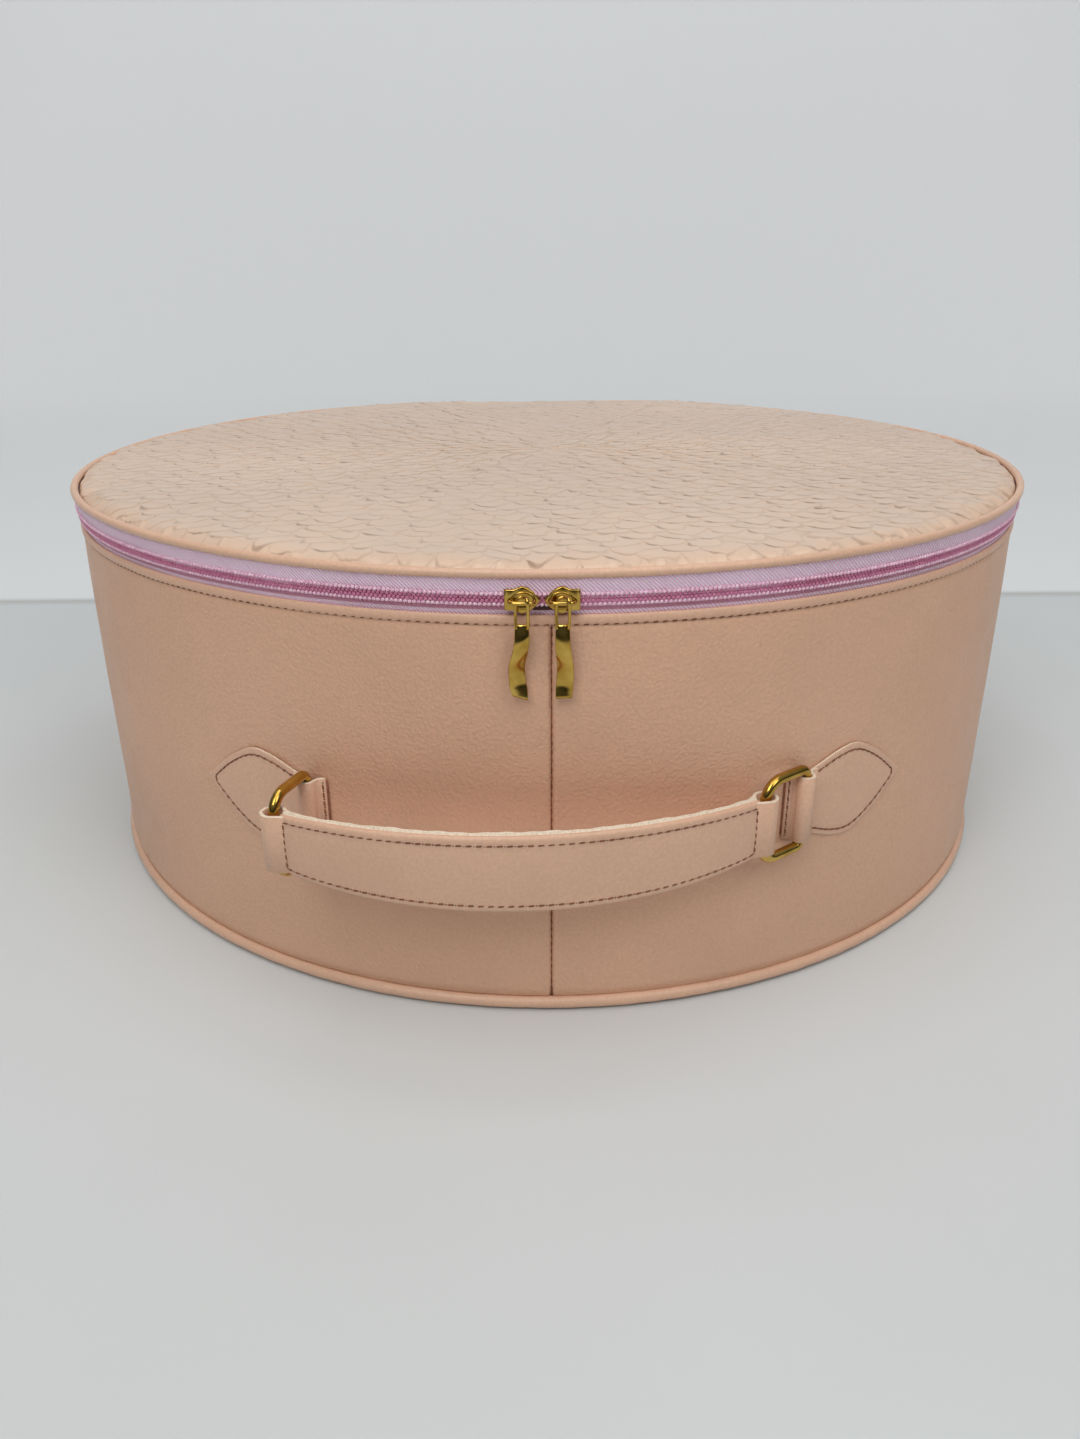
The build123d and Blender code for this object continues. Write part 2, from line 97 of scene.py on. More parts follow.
BACK_GAP = 2.05 * MM          # slider's back plate in from the tape
STRAP_RISE = 25 * MM          # how far the strap bows out between its rings
STRAP_PUFF_END = 4.5 * MM     # length over which the strap's padding thins at each end
LOOP_HALF_WIDTH = 9.7 * MM
TAB_ROOT_HALF = 11.8          # millimetres
FOLD_EDGES = {1, 2, 3, 5, 6, 7}   # columns of a folded ply that show its cut edge
PEBBLES = 1050.0              # leather grain cells per metre
TWILL_PITCH = 1.25 * MM
WEFT_PITCH = 0.42 * MM
TABLE_EDGE_Y = 0.287          # where the table meets the wall behind it
UP = np.array([0.0, 0.0, 1.0])

# studio and camera
ROOM_STRENGTH = 0.36
ROOM_LOW = (0.04, 0.04, 0.045, 1.0)
ROOM_HIGH = (0.93, 0.96, 1.0, 1.0)
ROOM_SEEN = (1.5, 1.54, 1.56, 1.0)
CAMERA_LENS = 27.04
CAMERA_PLACE = (-0.00889, -0.50111, 0.23778)
CAMERA_TURN = (-0.64, 23.23, -0.26)   # yaw, pitch and roll, in degrees

JOINTS = {j["name"]: j for j in frame["joints"]}


def srgb(red, green, blue):
    """Linear colour from an 8-bit sRGB one."""
    out = []
    for value in (red, green, blue):
        c = value / 255
        out.append(c / 12.92 if c <= 0.04045 else ((c + 0.055) / 1.055) ** 2.4)
    return (*out, 1.0)


# ------------------------------------------------------------ materials
def colour_sockets(sockets):
    """A Mix node has sockets of every kind; these are its colours."""
    return [s for s in sockets if s.type == "RGBA"]


class Shader:
    """A Principled material with short calls for the nodes used here."""

    def __init__(self, name, roughness=0.5, metallic=0.0, coat=0.0, sheen=0.0, ior=1.5):
        self.material = bpy.data.materials.new(name)
        self.material.use_nodes = True
        self.nodes = self.material.node_tree.nodes
        self.links = self.material.node_tree.links
        self.out = self.nodes["Principled BSDF"]
        self.set(self.out, "Roughness", roughness)
        self.set(self.out, "Metallic", metallic)
        self.set(self.out, "Coat Weight", coat)
        self.set(self.out, "Sheen Weight", sheen)
        self.set(self.out, "IOR", ior)
        self.coord = None

    def set(self, node, socket, value):
        if isinstance(value, bpy.types.NodeSocket):
            self.links.new(value, node.inputs[socket])
        else:
            node.inputs[socket].default_value = value

    def place(self):
        if self.coord is None:
            self.coord = self.nodes.new("ShaderNodeTexCoord").outputs["Object"]
        return self.coord

    def flat(self):
        node = self.nodes.new("ShaderNodeUVMap")
        node.uv_map = "flat_m"
        return node.outputs["UV"]

    def math(self, kind, a, b=0.0, clamp=False):
        node = self.nodes.new("ShaderNodeMath")
        node.operation = kind
        node.use_clamp = clamp
        self.set(node, 0, a)
        self.set(node, 1, b)
        return node.outputs[0]

    def add(self, a, b, clamp=False):
        return self.math("ADD", a, b, clamp)

    def sub(self, a, b, clamp=False):
        return self.math("SUBTRACT", a, b, clamp)

    def mul(self, a, b, clamp=False):
        return self.math("MULTIPLY", a, b, clamp)

    def axes(self, vector):
        node = self.nodes.new("ShaderNodeSeparateXYZ")
        self.set(node, 0, vector)
        return node.outputs

    def noise(self, scale, detail=3.0, roughness=0.55, vector=None):
        node = self.nodes.new("ShaderNodeTexNoise")
        self.set(node, "Vector", vector or self.place())
        self.set(node, "Scale", scale)
        self.set(node, "Detail", detail)
        self.set(node, "Roughness", roughness)
        return node.outputs["Fac"]

    def cells(self, scale, vector=None, feature="F1"):
        node = self.nodes.new("ShaderNodeTexVoronoi")
        node.feature = feature
        self.set(node, "Vector", vector or self.place())
        self.set(node, "Scale", scale)
        return node.outputs["Distance"]

    def ramp(self, value, low, high, bottom=0.0, top=1.0):
        node = self.nodes.new("ShaderNodeMapRange")
        for socket, number in (("Value", value), ("From Min", low), ("From Max", high)):
            self.set(node, socket, number)
        self.set(node, "To Min", bottom)
        self.set(node, "To Max", top)
        return node.outputs["Result"]

    def mix(self, factor, a, b):
        node = self.nodes.new("ShaderNodeMix")
        node.data_type = "RGBA"
        self.set(node, "Factor", factor)
        for socket, value in zip(colour_sockets(node.inputs), (a, b)):
            if isinstance(value, bpy.types.NodeSocket):
                self.links.new(value, socket)
            else:
                socket.default_value = value
        return colour_sockets(node.outputs)[0]

    def bump(self, height, strength, depth, under=None):
        node = self.nodes.new("ShaderNodeBump")
        self.set(node, "Height", height)
        self.set(node, "Strength", strength)
        self.set(node, "Distance", depth)
        if under is not None:
            self.set(node, "Normal", under)
        return node.outputs["Normal"]

    def finish(self, colour, normal=None, roughness=None):
        self.set(self.out, "Base Color", colour)
        if normal is not None:
            self.set(self.out, "Normal", normal)
        if roughness is not None:
            self.set(self.out, "Roughness", roughness)
        return self.material


def scaled(colour, by):
    """A darker or paler version of a colour."""
    return tuple(min(1.0, c * by) for c in colour[:3]) + (1.0,)


def leather_grain(shader, strength=0.35):
    """Fine pebbled grain of coated leatherette, as a normal."""
    pebbles = shader.cells(PEBBLES, feature="SMOOTH_F1")
    normal = shader.bump(pebbles, strength, 0.0004)
    soft = shader.noise(420.0, 3.0)
    normal = shader.bump(soft, 0.35, 0.0004, normal)
    wide = shader.noise(45.0, 2.0)
    return shader.bump(wide, 0.15, 0.002, normal)


def leatherette(name, colour, strength=0.6, gloss=0.46):
    shader = Shader(name, coat=0.05)
    deep = scaled(colour, 0.88)
    pale = scaled(colour, 1.05)
    cloudy = shader.noise(9.0, 4.0, 0.6)
    base = shader.mix(shader.ramp(cloudy, 0.3, 0.7), deep, pale)
    pores = shader.ramp(shader.cells(PEBBLES, feature="SMOOTH_F1"), 0.10, 0.60, 0.0, 0.30)
    base = shader.mix(pores, base, scaled(colour, 0.72))
    scuffs = shader.ramp(shader.noise(260.0, 5.0, 0.7), 0.62, 0.78, 0.0, 0.25)
    base = shader.mix(scuffs, base, pale)
    rough = shader.ramp(shader.noise(70.0, 4.0), 0.3, 0.7, gloss - 0.05, gloss + 0.09)
    return shader.finish(base, leather_grain(shader, strength), rough)


# Pressed scale pattern of the lid: staggered scallops, warped by a few sines.
SCALE_WIDTH = 12.4         # millimetres along x
SCALE_PITCH = 7.2          # millimetres between rows along y
SCALE_DROP = 0.93          # depth of a scallop as a share of the pitch
X_WARP = ((1.5, 0.03, 0.31, 1.3), (1.3, 0.07, 0.13, 0.0), (0.7, 0.19, 0.43, 2.1))
Y_WARP = ((1.3, 0.23, 0.05, 0.5), (0.9, 0.41, 0.17, 0.0), (0.7, 0.11, 0.37, 0.9))


def scale_shader_parts(shader):
    """Signed distance from the nearest scale's edge, the place across it, and the height."""
    x, y = [shader.mul(axis, 1000.0) for axis in shader.axes(shader.place())[:2]]

    def warped(axis, waves):
        for size, across, along, phase in waves:
            turn = shader.mul(x, across)
            turn = shader.add(turn, shader.mul(y, along))
            wave = shader.math("SINE", shader.add(turn, phase))
            axis = shader.add(axis, shader.mul(wave, size))
        return axis

    u = shader.math("DIVIDE", warped(x, X_WARP), SCALE_WIDTH)
    v = shader.math("DIVIDE", warped(y, Y_WARP), SCALE_PITCH)
    row = shader.math("FLOOR", v)

    def edge(index):
        shift = shader.mul(shader.math("FLOORED_MODULO", index, 2.0), 0.5)
        across = shader.sub(shader.math("FRACT", shader.add(u, shift)), 0.5)
        square = shader.mul(shader.mul(across, across), 4.0)
        drop = shader.math("SQRT", shader.sub(1.0, square, clamp=True))
        line = shader.sub(index, shader.mul(drop, SCALE_DROP))
        return line, across

    upper, across = edge(shader.add(row, 1.0))
    lower, _ = edge(row)
    gap = shader.sub(v, upper)
    inside = shader.math("GREATER_THAN", gap, 0.0)
    depth_in = shader.mul(gap, 0.5, clamp=True)
    depth_out = shader.mul(shader.sub(v, lower), 0.5, clamp=True)
    both = shader.mul(inside, shader.sub(depth_out, depth_in))
    height = shader.add(shader.sub(1.0, depth_out), both)
    return gap, across, height


def scale_height(x, y):
    """The same pattern as a height from 0 to 1, for arrays of millimetres."""
    wx = x + sum(a * np.sin(b * x + c * y + d) for a, b, c, d in X_WARP)
    wy = y + sum(a * np.sin(b * x + c * y + d) for a, b, c, d in Y_WARP)
    u = wx / SCALE_WIDTH
    v = wy / SCALE_PITCH
    row = np.floor(v)

    def edge(index):
        across = np.mod(u + 0.5 * np.mod(index, 2), 1.0) - 0.5
        return index - SCALE_DROP * np.sqrt(np.clip(1 - 4 * across**2, 0, 1))

    gap = v - edge(row + 1)
    depth = np.where(gap > 0, gap, v - edge(row))
    return 1 - np.clip(depth / 2, 0, 1)


def lid_leatherette(name, colour):
    shader = Shader(name, coat=0.25)
    gap, across, height = scale_shader_parts(shader)
    pale = scaled(colour, 1.04)
    deep = scaled(colour, 0.90)
    base = shader.mix(shader.ramp(shader.noise(8.0, 4.0), 0.3, 0.7), deep, pale)
    # painted shade: dark lines along the scales' edges, strongest on their left, lower sides where
    # light from the upper left leaves them in shade, and a faint painted shade along every edge
    near = shader.math("ABSOLUTE", shader.add(gap, 0.05))
    line = shader.ramp(near, 0.04, 0.18, 1.0, 0.0)
    shaded_side = shader.ramp(across, -0.42, 0.25, 1.0, 0.12)
    cusp = shader.ramp(shader.math("ABSOLUTE", across), 0.38, 0.48, 1.0, 0.0)
    shaded_side = shader.mul(shaded_side, cusp)
    broken = shader.ramp(shader.noise(85.0, 2.0), 0.40, 0.62)
    crease_shade = shader.mul(shader.mul(line, shaded_side), broken, clamp=True)
    crease_shade_colour = tuple(c * k for c, k in zip(colour[:3], (0.44, 0.36, 0.30))) + (1.0,)
    base = shader.mix(shader.mul(crease_shade, 0.95), base, crease_shade_colour)
    faint_crease_shade = shader.mul(line, 0.13)
    base = shader.mix(faint_crease_shade, base, crease_shade_colour)
    normal = shader.bump(height, 1.0, 0.0009)
    pebbles = shader.cells(1300.0, feature="SMOOTH_F1")
    normal = shader.bump(pebbles, 0.25, 0.0002, normal)
    normal = shader.bump(shader.noise(240.0, 4.0), 0.35, 0.0005, normal)
    rough = shader.ramp(shader.noise(60.0, 4.0), 0.3, 0.7, 0.30, 0.44)
    return shader.finish(base, normal, rough)


def cut_edge(name):
    """Pale layered edge where the leatherette was cut."""
    shader = Shader(name, roughness=0.8)
    fibres = shader.noise(1800.0, 4.0)
    base = shader.mix(shader.ramp(fibres, 0.3, 0.7), srgb(214, 190, 163), srgb(246, 232, 210))
    return shader.finish(base, shader.bump(fibres, 0.5, 0.0002))


def twill(name, light, dark, angle=1.0):
    """Zip tape: diagonal ribs, from the distance round the case and up the tape."""
    shader = Shader(name, roughness=0.62, sheen=0.25)
    along, across, _ = shader.axes(shader.flat())
    slant = shader.add(along, shader.mul(across, angle))
    phase = shader.mul(slant, 2 * math.pi / TWILL_PITCH)
    rib = shader.ramp(shader.math("SINE", phase), -0.6, 0.8)
    weft = shader.math("SINE", shader.mul(across, 2 * math.pi / WEFT_PITCH))
    rib = shader.add(rib, shader.mul(weft, 0.10))
    tone = shader.mul(rib, shader.ramp(shader.noise(300.0), 0.2, 0.8, 0.7, 1.1))
    base = shader.mix(tone, dark, light)
    # painted shade: a dark rose band across the lower tape just below the chain, where the chain
    # shades the tape
    below = shader.sub(ZIP_Z, across)
    near_side = shader.ramp(below, 0.0021, 0.0024)
    far_side = shader.ramp(below, 0.0034, 0.0038, 1.0, 0.0)
    chain_shade_band = shader.mul(near_side, far_side)
    base = shader.mix(shader.mul(chain_shade_band, 0.85), base, srgb(190, 104, 134))
    return shader.finish(base, shader.bump(rib, 1.0, 0.0003))


def nylon(name, colour, dark, roughness=0.34):
    shader = Shader(name, roughness=roughness, coat=0.2)
    base = shader.mix(shader.ramp(shader.noise(500.0), 0.3, 0.7), dark, colour)
    return shader.finish(base, shader.bump(shader.noise(1500.0), 0.2, 0.00008))


def thread(name, colour, dark):
    """Twisted sewing thread; the same shader also colours the painted shade in needle holes and
    seams.
    """
    shader = Shader(name, roughness=0.75)
    base = shader.mix(shader.ramp(shader.noise(900.0), 0.35, 0.65), dark, colour)
    return shader.finish(base, shader.bump(shader.noise(2600.0, 2.0), 0.6, 0.0001))


def gold(name):
    shader = Shader(name, metallic=1.0)
    base = shader.mix(
        shader.ramp(shader.noise(160.0), 0.3, 0.7), srgb(176, 138, 58), srgb(208, 174, 90)
    )
    scratch = shader.noise(900.0, 5.0, 0.7)
    rough = shader.ramp(shader.noise(240.0, 4.0), 0.3, 0.8, 0.10, 0.22)
    return shader.finish(base, shader.bump(scratch, 0.06, 0.00006), rough)


def woven(name, colour, pitch=0.0006):
    """Plain woven cloth for the linings, and the face of hidden padding and board."""
    shader = Shader(name, roughness=0.85, sheen=0.2)
    x, y, z = shader.axes(shader.place())
    rate = 2 * math.pi / pitch
    warp = shader.math("SINE", shader.mul(shader.add(x, y), rate))
    weft = shader.math("SINE", shader.mul(shader.sub(z, y), rate))
    weave = shader.add(shader.mul(warp, 0.25), shader.mul(weft, 0.25))
    tone = shader.ramp(shader.add(weave, shader.noise(220.0)), 0.0, 1.0)
    deep = scaled(colour, 0.78)
    base = shader.mix(tone, deep, colour)
    return shader.finish(base, shader.bump(weave, 0.35, 0.00015))


WALL_COLOUR = srgb(228, 180, 148)
LID_COLOUR = srgb(227, 195, 168)
STRAP_COLOUR = srgb(229, 184, 154)
PIPE_COLOUR = srgb(230, 186, 156)

LEATHER = leatherette("wall_leatherette", WALL_COLOUR)
HEM_LEATHER = leatherette("hem_leatherette", srgb(231, 184, 154), 0.22, 0.42)
PIPE_LEATHER = leatherette("piping_leatherette", PIPE_COLOUR, 0.2, 0.38)
STRAP_LEATHER = leatherette("strap_leatherette", STRAP_COLOUR, 0.3, 0.42)
LID_LEATHER = lid_leatherette("lid_leatherette", LID_COLOUR)
CUT_EDGE = cut_edge("cut_edge")
TAPE = twill("zip_tape_twill", srgb(255, 244, 252), srgb(246, 192, 224))
COIL = nylon("zip_coil_rose", srgb(216, 134, 166), srgb(192, 106, 140))
COIL_THREAD = thread("zip_coil_thread", srgb(250, 216, 230), srgb(226, 168, 194))
SEAM_THREAD = thread("seam_thread", srgb(150, 94, 64), srgb(108, 64, 44))
# painted shade: near-black brown for the shade in needle holes and in the opening under the slider
# noses
HOLE_SHADE = thread("hole_shade", srgb(84, 48, 34), srgb(58, 32, 22))
SEAM_SHADE = thread("seam_shade", srgb(158, 106, 80), srgb(126, 80, 60))
GOLD = gold("pale_gold")
LINING = woven("lining_cloth", srgb(206, 176, 158))
BINDING = woven("binding_tape", srgb(190, 150, 130), 0.0009)
BOARD = woven("grey_board", srgb(160, 146, 124), 0.0021)
FOAM = woven("padding", srgb(232, 226, 214), 0.0015)


# ------------------------------------------------------------ plan outline
FILLET_Y = FLAT_Y - CORNER
FILLET_X = math.sqrt((RADIUS - CORNER) ** 2 - FILLET_Y**2)
FILLET_TURN = math.atan2(FILLET_Y, FILLET_X)
ROUND_LENGTH = RADIUS * (FILLET_TURN + math.pi / 2)
FILLET_LENGTH = CORNER * (math.pi / 2 - FILLET_TURN)
HALF_LENGTH = ROUND_LENGTH + FILLET_LENGTH + FILLET_X
ZIP_HALF = HALF_LENGTH - HINGE_HALF


def plan(s):
    """Points and outward normals of the wall's outline, s metres round from the front."""
    s = np.asarray(s, float)
    side = np.where(s < 0, -1.0, 1.0)
    a = np.abs(s)
    turn = np.minimum(a, ROUND_LENGTH) / RADIUS - math.pi / 2
    extra = np.clip(a - ROUND_LENGTH, 0, FILLET_LENGTH)
    turn_2 = FILLET_TURN + extra / CORNER
    on_round = a <= ROUND_LENGTH
    on_flat = a > ROUND_LENGTH + FILLET_LENGTH
    nx = np.where(on_round, np.cos(turn), np.where(on_flat, 0.0, np.cos(turn_2)))
    ny = np.where(on_round, np.sin(turn), np.where(on_flat, 1.0, np.sin(turn_2)))
    x = np.where(on_round, RADIUS * np.cos(turn), FILLET_X + CORNER * np.cos(turn_2))
    x = np.where(on_flat, FILLET_X - (a - ROUND_LENGTH - FILLET_LENGTH), x)
    y = np.where(on_round, RADIUS * np.sin(turn), FILLET_Y + CORNER * np.sin(turn_2))
    y = np.where(on_flat, FLAT_Y, y)
    return np.stack([side * x, y], -1), np.stack([side * nx, ny], -1)


def lay(s, out, z):
    """World points for broadcast arrays of distance round, distance out and height."""
    s, out, z = np.broadcast_arrays(s, out, z)
    point, normal = plan(s)
    xy = point + normal * out[..., None]
    return np.concatenate([xy, z[..., None]], -1)


def facing(s, z):
    """Outward directions at distances round the case."""
    return lay(s, 1.0, z) - lay(s, 0.0, z)


def wobble(s, z, size, seed=0.0):
    """Smooth noise over the wall, from -1 to 1."""
    point, _ = plan(s)
    flat = np.stack(
        [point[..., 0] / size, point[..., 1] / size, np.broadcast_to(z, s.shape) / size + seed], -1
    )
    values = [noise.noise(Vector(p)) for p in flat.reshape(-1, 3)]
    return np.array(values).reshape(s.shape)


# ------------------------------------------------------------ mesh making
def add(name, vertices, faces, material, flat=None, smooth=True):
    mesh = bpy.data.meshes.new(name)
    mesh.from_pydata(np.asarray(vertices, float).reshape(-1, 3).tolist(), [], faces)
    mesh.materials.append(material)
    if smooth:
        mesh.polygons.foreach_set("use_smooth", [True] * len(mesh.polygons))
    if flat is not None:
        layer = mesh.uv_layers.new(name="flat_m")
        index = np.zeros(len(mesh.loops), int)
        mesh.loops.foreach_get("vertex_index", index)
        layer.uv.foreach_set("vector", np.asarray(flat, np.float32).reshape(-1, 2)[index].ravel())
    thing = bpy.data.objects.new(name, mesh)
    bpy.context.scene.collection.objects.link(thing)
    return thing


def grid_faces(rows, columns, close_rows=False, close_columns=False):
    r = np.arange(rows if close_rows else rows - 1)
    c = np.arange(columns if close_columns else columns - 1)
    r, c = np.meshgrid(r, c, indexing="ij")
    r2 = (r + 1) % rows
    c2 = (c + 1) % columns
    quads = np.stack([r * columns + c, r2 * columns + c, r2 * columns + c2, r * columns + c2], -1)
    return quads.reshape(-1, 4).tolist()


def loft(name, points, material, close_rows=False, close_columns=False, flat=None, caps=False):
    """Sheet through a grid of points; rows run round the case, columns across."""
    rows, columns = points.shape[:2]
    faces = grid_faces(rows, columns, close_rows, close_columns)
    if caps:
        faces.append(list(range(columns)))
        faces.append([(rows - 1) * columns + c for c in reversed(range(columns))])
    return add(name, points, faces, material, flat)


def capsule(sides=8):
    """Unit capsule along x, from -1 to 1, with radius 1 across."""
    points = [(-1.0, 0.0, 0.0)]
    profile = [(-0.93, 0.55), (-0.72, 0.92), (-0.3, 1.0), (0.3, 1.0), (0.72, 0.92), (0.93, 0.55)]
    for x, r in profile:
        for k in range(sides):
            turn = 2 * math.pi * k / sides
            points.append((x, r * math.cos(turn), r * math.sin(turn)))
    points.append((1.0, 0.0, 0.0))
    faces = [(0, 1 + (k + 1) % sides, 1 + k) for k in range(sides)]
    for ring in range(len(profile) - 1):
        for k in range(sides):
            a = 1 + ring * sides
            faces.append((a + k, a + (k + 1) % sides, a + sides + (k + 1) % sides, a + sides + k))
    last = 1 + (len(profile) - 1) * sides
    end = len(points) - 1
    faces += [(end, last + k, last + (k + 1) % sides) for k in range(sides)]
    return np.array(points), faces


def unit(v):
    return v / np.maximum(np.linalg.norm(v, axis=-1, keepdims=True), 1e-12)


def beads(name, centres, along, up, half_length, half_width, half_height, material):
    """Many capsules as one object. along and up are directions at each centre."""
    shape, faces = capsule()
    centres, along, up = (np.asarray(a, float) for a in (centres, along, up))
    along = unit(along)
    side = unit(np.cross(up, along))
    up = np.cross(along, side)
    parts = (
        centres[:, None]
        + along[:, None] * shape[None, :, 0:1] * half_length
        + side[:, None] * shape[None, :, 1:2] * half_width
        + up[:, None] * shape[None, :, 2:3] * half_height
    )
    count = len(shape)
    all_faces = [[i + k * count for i in face] for k in range(len(centres)) for face in faces]
    return add(name, parts, all_faces, material)


def stitch_row(name, points, outward, body):
    """Thread, and small dark capsules painted as the shade in its needle holes, along a line of
    evenly spaced points.
    """
    points, outward = np.asarray(points), unit(np.asarray(outward, float))
    middle = (points[1:] + points[:-1]) / 2
    along = points[1:] - points[:-1]
    up = unit(outward[1:] + outward[:-1])
    lean = np.cross(up, unit(along)) * 0.10
    length = np.linalg.norm(along, axis=1).mean()
    rows = beads(
        name, middle + up * 0.06 * MM, unit(along) + lean, up, length * 0.32, THREAD_RADIUS,
        THREAD_RADIUS * 0.8, SEAM_THREAD,
    )
    # painted shade: a small dark capsule at each needle hole
    hole_shades = beads(
        name + "_holes", points - outward * 0.02 * MM, along[np.r_[0, : len(along)]],
        outward, length * 0.07, THREAD_RADIUS * 1.1, THREAD_RADIUS * 0.35, HOLE_SHADE,
    )
    for piece in (rows, hole_shades):
        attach(piece, body)
    return rows


def keep(piece, body, slot, *nodes):
    """Rides a finished piece on a body, and lets it stand for CAD nodes."""
    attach(piece, body)
    if nodes:
        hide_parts(*nodes)
    return piece


def evenly(start, end, step):
    count = max(2, int(round(abs(end - start) / step)) + 1)
    return np.linspace(start, end, count)


# ------------------------------------------------------------ wall
def seam_dip(s):
    """Valley and ridges of the front seam, in metres out of the wall."""
    d = (s - SEAM_S) / MM
    valley = -1.0 * np.exp(-((d / 0.55) ** 2))
    ridges = 0.22 * np.exp(-(((np.abs(d) - 2.0) / 1.1) ** 2))
    return (valley + ridges) * MM


def wall_relief(s, z):
    """Soft unevenness of the padded wall."""
    broad = 0.55 * wobble(s, z, 70 * MM) + 0.16 * wobble(s, z, 22 * MM, 5.0)
    fade = np.clip((RIM_Z - HEM_DEPTH - z) / (14 * MM), 0, 1)
    fade = fade * np.clip((z - WALL_FOOT_Z) / (10 * MM), 0, 1)
    top = -0.40 * np.exp(-(((RIM_Z - HEM_DEPTH - z) / (1.3 * MM)) ** 2))
    foot = -0.9 * np.exp(-(((z - WALL_FOOT_Z) / (1.8 * MM)) ** 2))
    beside_seam = np.exp(-(((s - SEAM_S) / (2.5 * MM)) ** 2))
    pull = 0.10 * np.sin((z / MM) * 2 * math.pi / (STITCH_PITCH / MM)) * beside_seam
    return (broad * fade - 0.35 + top + foot + pull) * MM + seam_dip(s)


def wall_columns(side):
    """Distances round the wall, close together beside the seam."""
    near = SEAM_S + side * np.linspace(0.05, 5, 22) * MM
    end = side * HALF_LENGTH
    return np.concatenate([near, evenly(near[-1], end, 2.2 * MM)[1:]])


def build_wall():
    top = RIM_Z - HEM_DEPTH + 0.3 * MM
    z = np.concatenate([
        np.linspace(WALL_FOOT_Z - 0.3 * MM, WALL_FOOT_Z + 5 * MM, 9),
        np.linspace(WALL_FOOT_Z + 8 * MM, top - 6 * MM, 44),
        np.linspace(top - 5 * MM, top, 10),
    ])
    for name, side in (("left", -1), ("right", 1)):
        s, zz = np.meshgrid(wall_columns(side), z, indexing="ij")
        out = wall_relief(s, zz)
        points = lay(s, out, zz)
        if side < 0:
            points = points[::-1]
        wall = loft("wall_cover_" + name, points, LEATHER)
        thicken(wall, WALL_THICKNESS)
        keep(wall, "case", "wall_leatherette", "wall_skin_" + name)


def thicken(piece, millimetres):
    """Gives a sheet its thickness, inwards."""
    solid = piece.modifiers.new("thickness", "SOLIDIFY")
    solid.thickness = millimetres * MM
    solid.offset = -1.0
    apply(piece)


def apply(piece):
    """Makes the modifiers' result the piece's own mesh."""
    graph = bpy.context.evaluated_depsgraph_get()
    graph.update()
    made = bpy.data.meshes.new_from_object(piece.evaluated_get(graph))
    piece.modifiers.clear()
    piece.data = made


def build_hem():
    """The rolled rim above its stitch line, folded over to the inside."""
    line_z = RIM_Z - HEM_DEPTH
    profile = np.array([
        (-0.62, -0.35), (-0.30, 0.0), (-0.02, 0.45), (0.16, 1.1), (0.20, 1.8),
        (0.10, 2.4), (-0.18, 2.85), (-0.60, 3.05), (-0.98, 2.95), (-1.18, 2.6), (-1.22, 1.6),
        (-1.22, 0.2),
    ]) * MM
    s = evenly(-HALF_LENGTH, HALF_LENGTH, STITCH_PITCH / 4)[:-1]
    ss, k = np.meshgrid(s, np.arange(len(profile)), indexing="ij")
    out = profile[k, 0]
    z = line_z + profile[k, 1]
    phase = (ss - SEAM_S) / STITCH_PITCH
    near_line = np.exp(-((profile[k, 1] / (1.3 * MM)) ** 2))
    pucker = 0.16 * np.cos(2 * math.pi * phase) * near_line
    ripple = 0.10 * np.sin(ss / (7.3 * MM)) * np.sin(ss / (19.1 * MM))
    face = np.clip((profile[k, 0] + 0.9 * MM) / (0.6 * MM), 0, 1)
    d = np.abs(ss - SEAM_S) / MM
    out = out + (pucker + ripple) * MM * face - 0.55 * MM * np.exp(-((d / 0.6) ** 2)) * face
    z = z + 0.12 * MM * np.sin(ss / (33 * MM)) - 0.25 * MM * np.exp(-((d / 0.8) ** 2))
    hem = loft("rim_hem", lay(ss, out, z), HEM_LEATHER, close_rows=True)
    keep(hem, "case", "wall_leatherette")
    count = int(round(2 * HALF_LENGTH / STITCH_PITCH))
    s = SEAM_S + np.arange(count + 1) * 2 * HALF_LENGTH / count
    s = np.where(s > HALF_LENGTH, s - 2 * HALF_LENGTH, s)
    points = lay(s, -0.52 * MM, line_z)
    outward = facing(s, line_z)
    stitch_row("rim_stitches", points, outward, "case")


def build_front_seam():
    """Thread showing in the valley of the front seam, and a darker cord down the valley's bottom as
    painted shade.
    """
    z = np.arange(WALL_FOOT_Z + 2 * MM, RIM_Z - HEM_DEPTH - 1 * MM, STITCH_PITCH)
    s = np.full(z.shape, SEAM_S)
    points = lay(s, -1.15 * MM, z)
    outward = facing(s, z)
    stitch_row("front_seam_stitches", points, outward, "case")
    shadow = np.linspace(WALL_FOOT_Z, RIM_Z - 0.6 * MM, 60)
    middle = lay(np.full(shadow.shape, SEAM_S), -1.45 * MM, shadow)
    cord = tube("front_seam_shade", middle, 0.32 * MM, SEAM_SHADE, sides=8)
    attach(cord, "case")


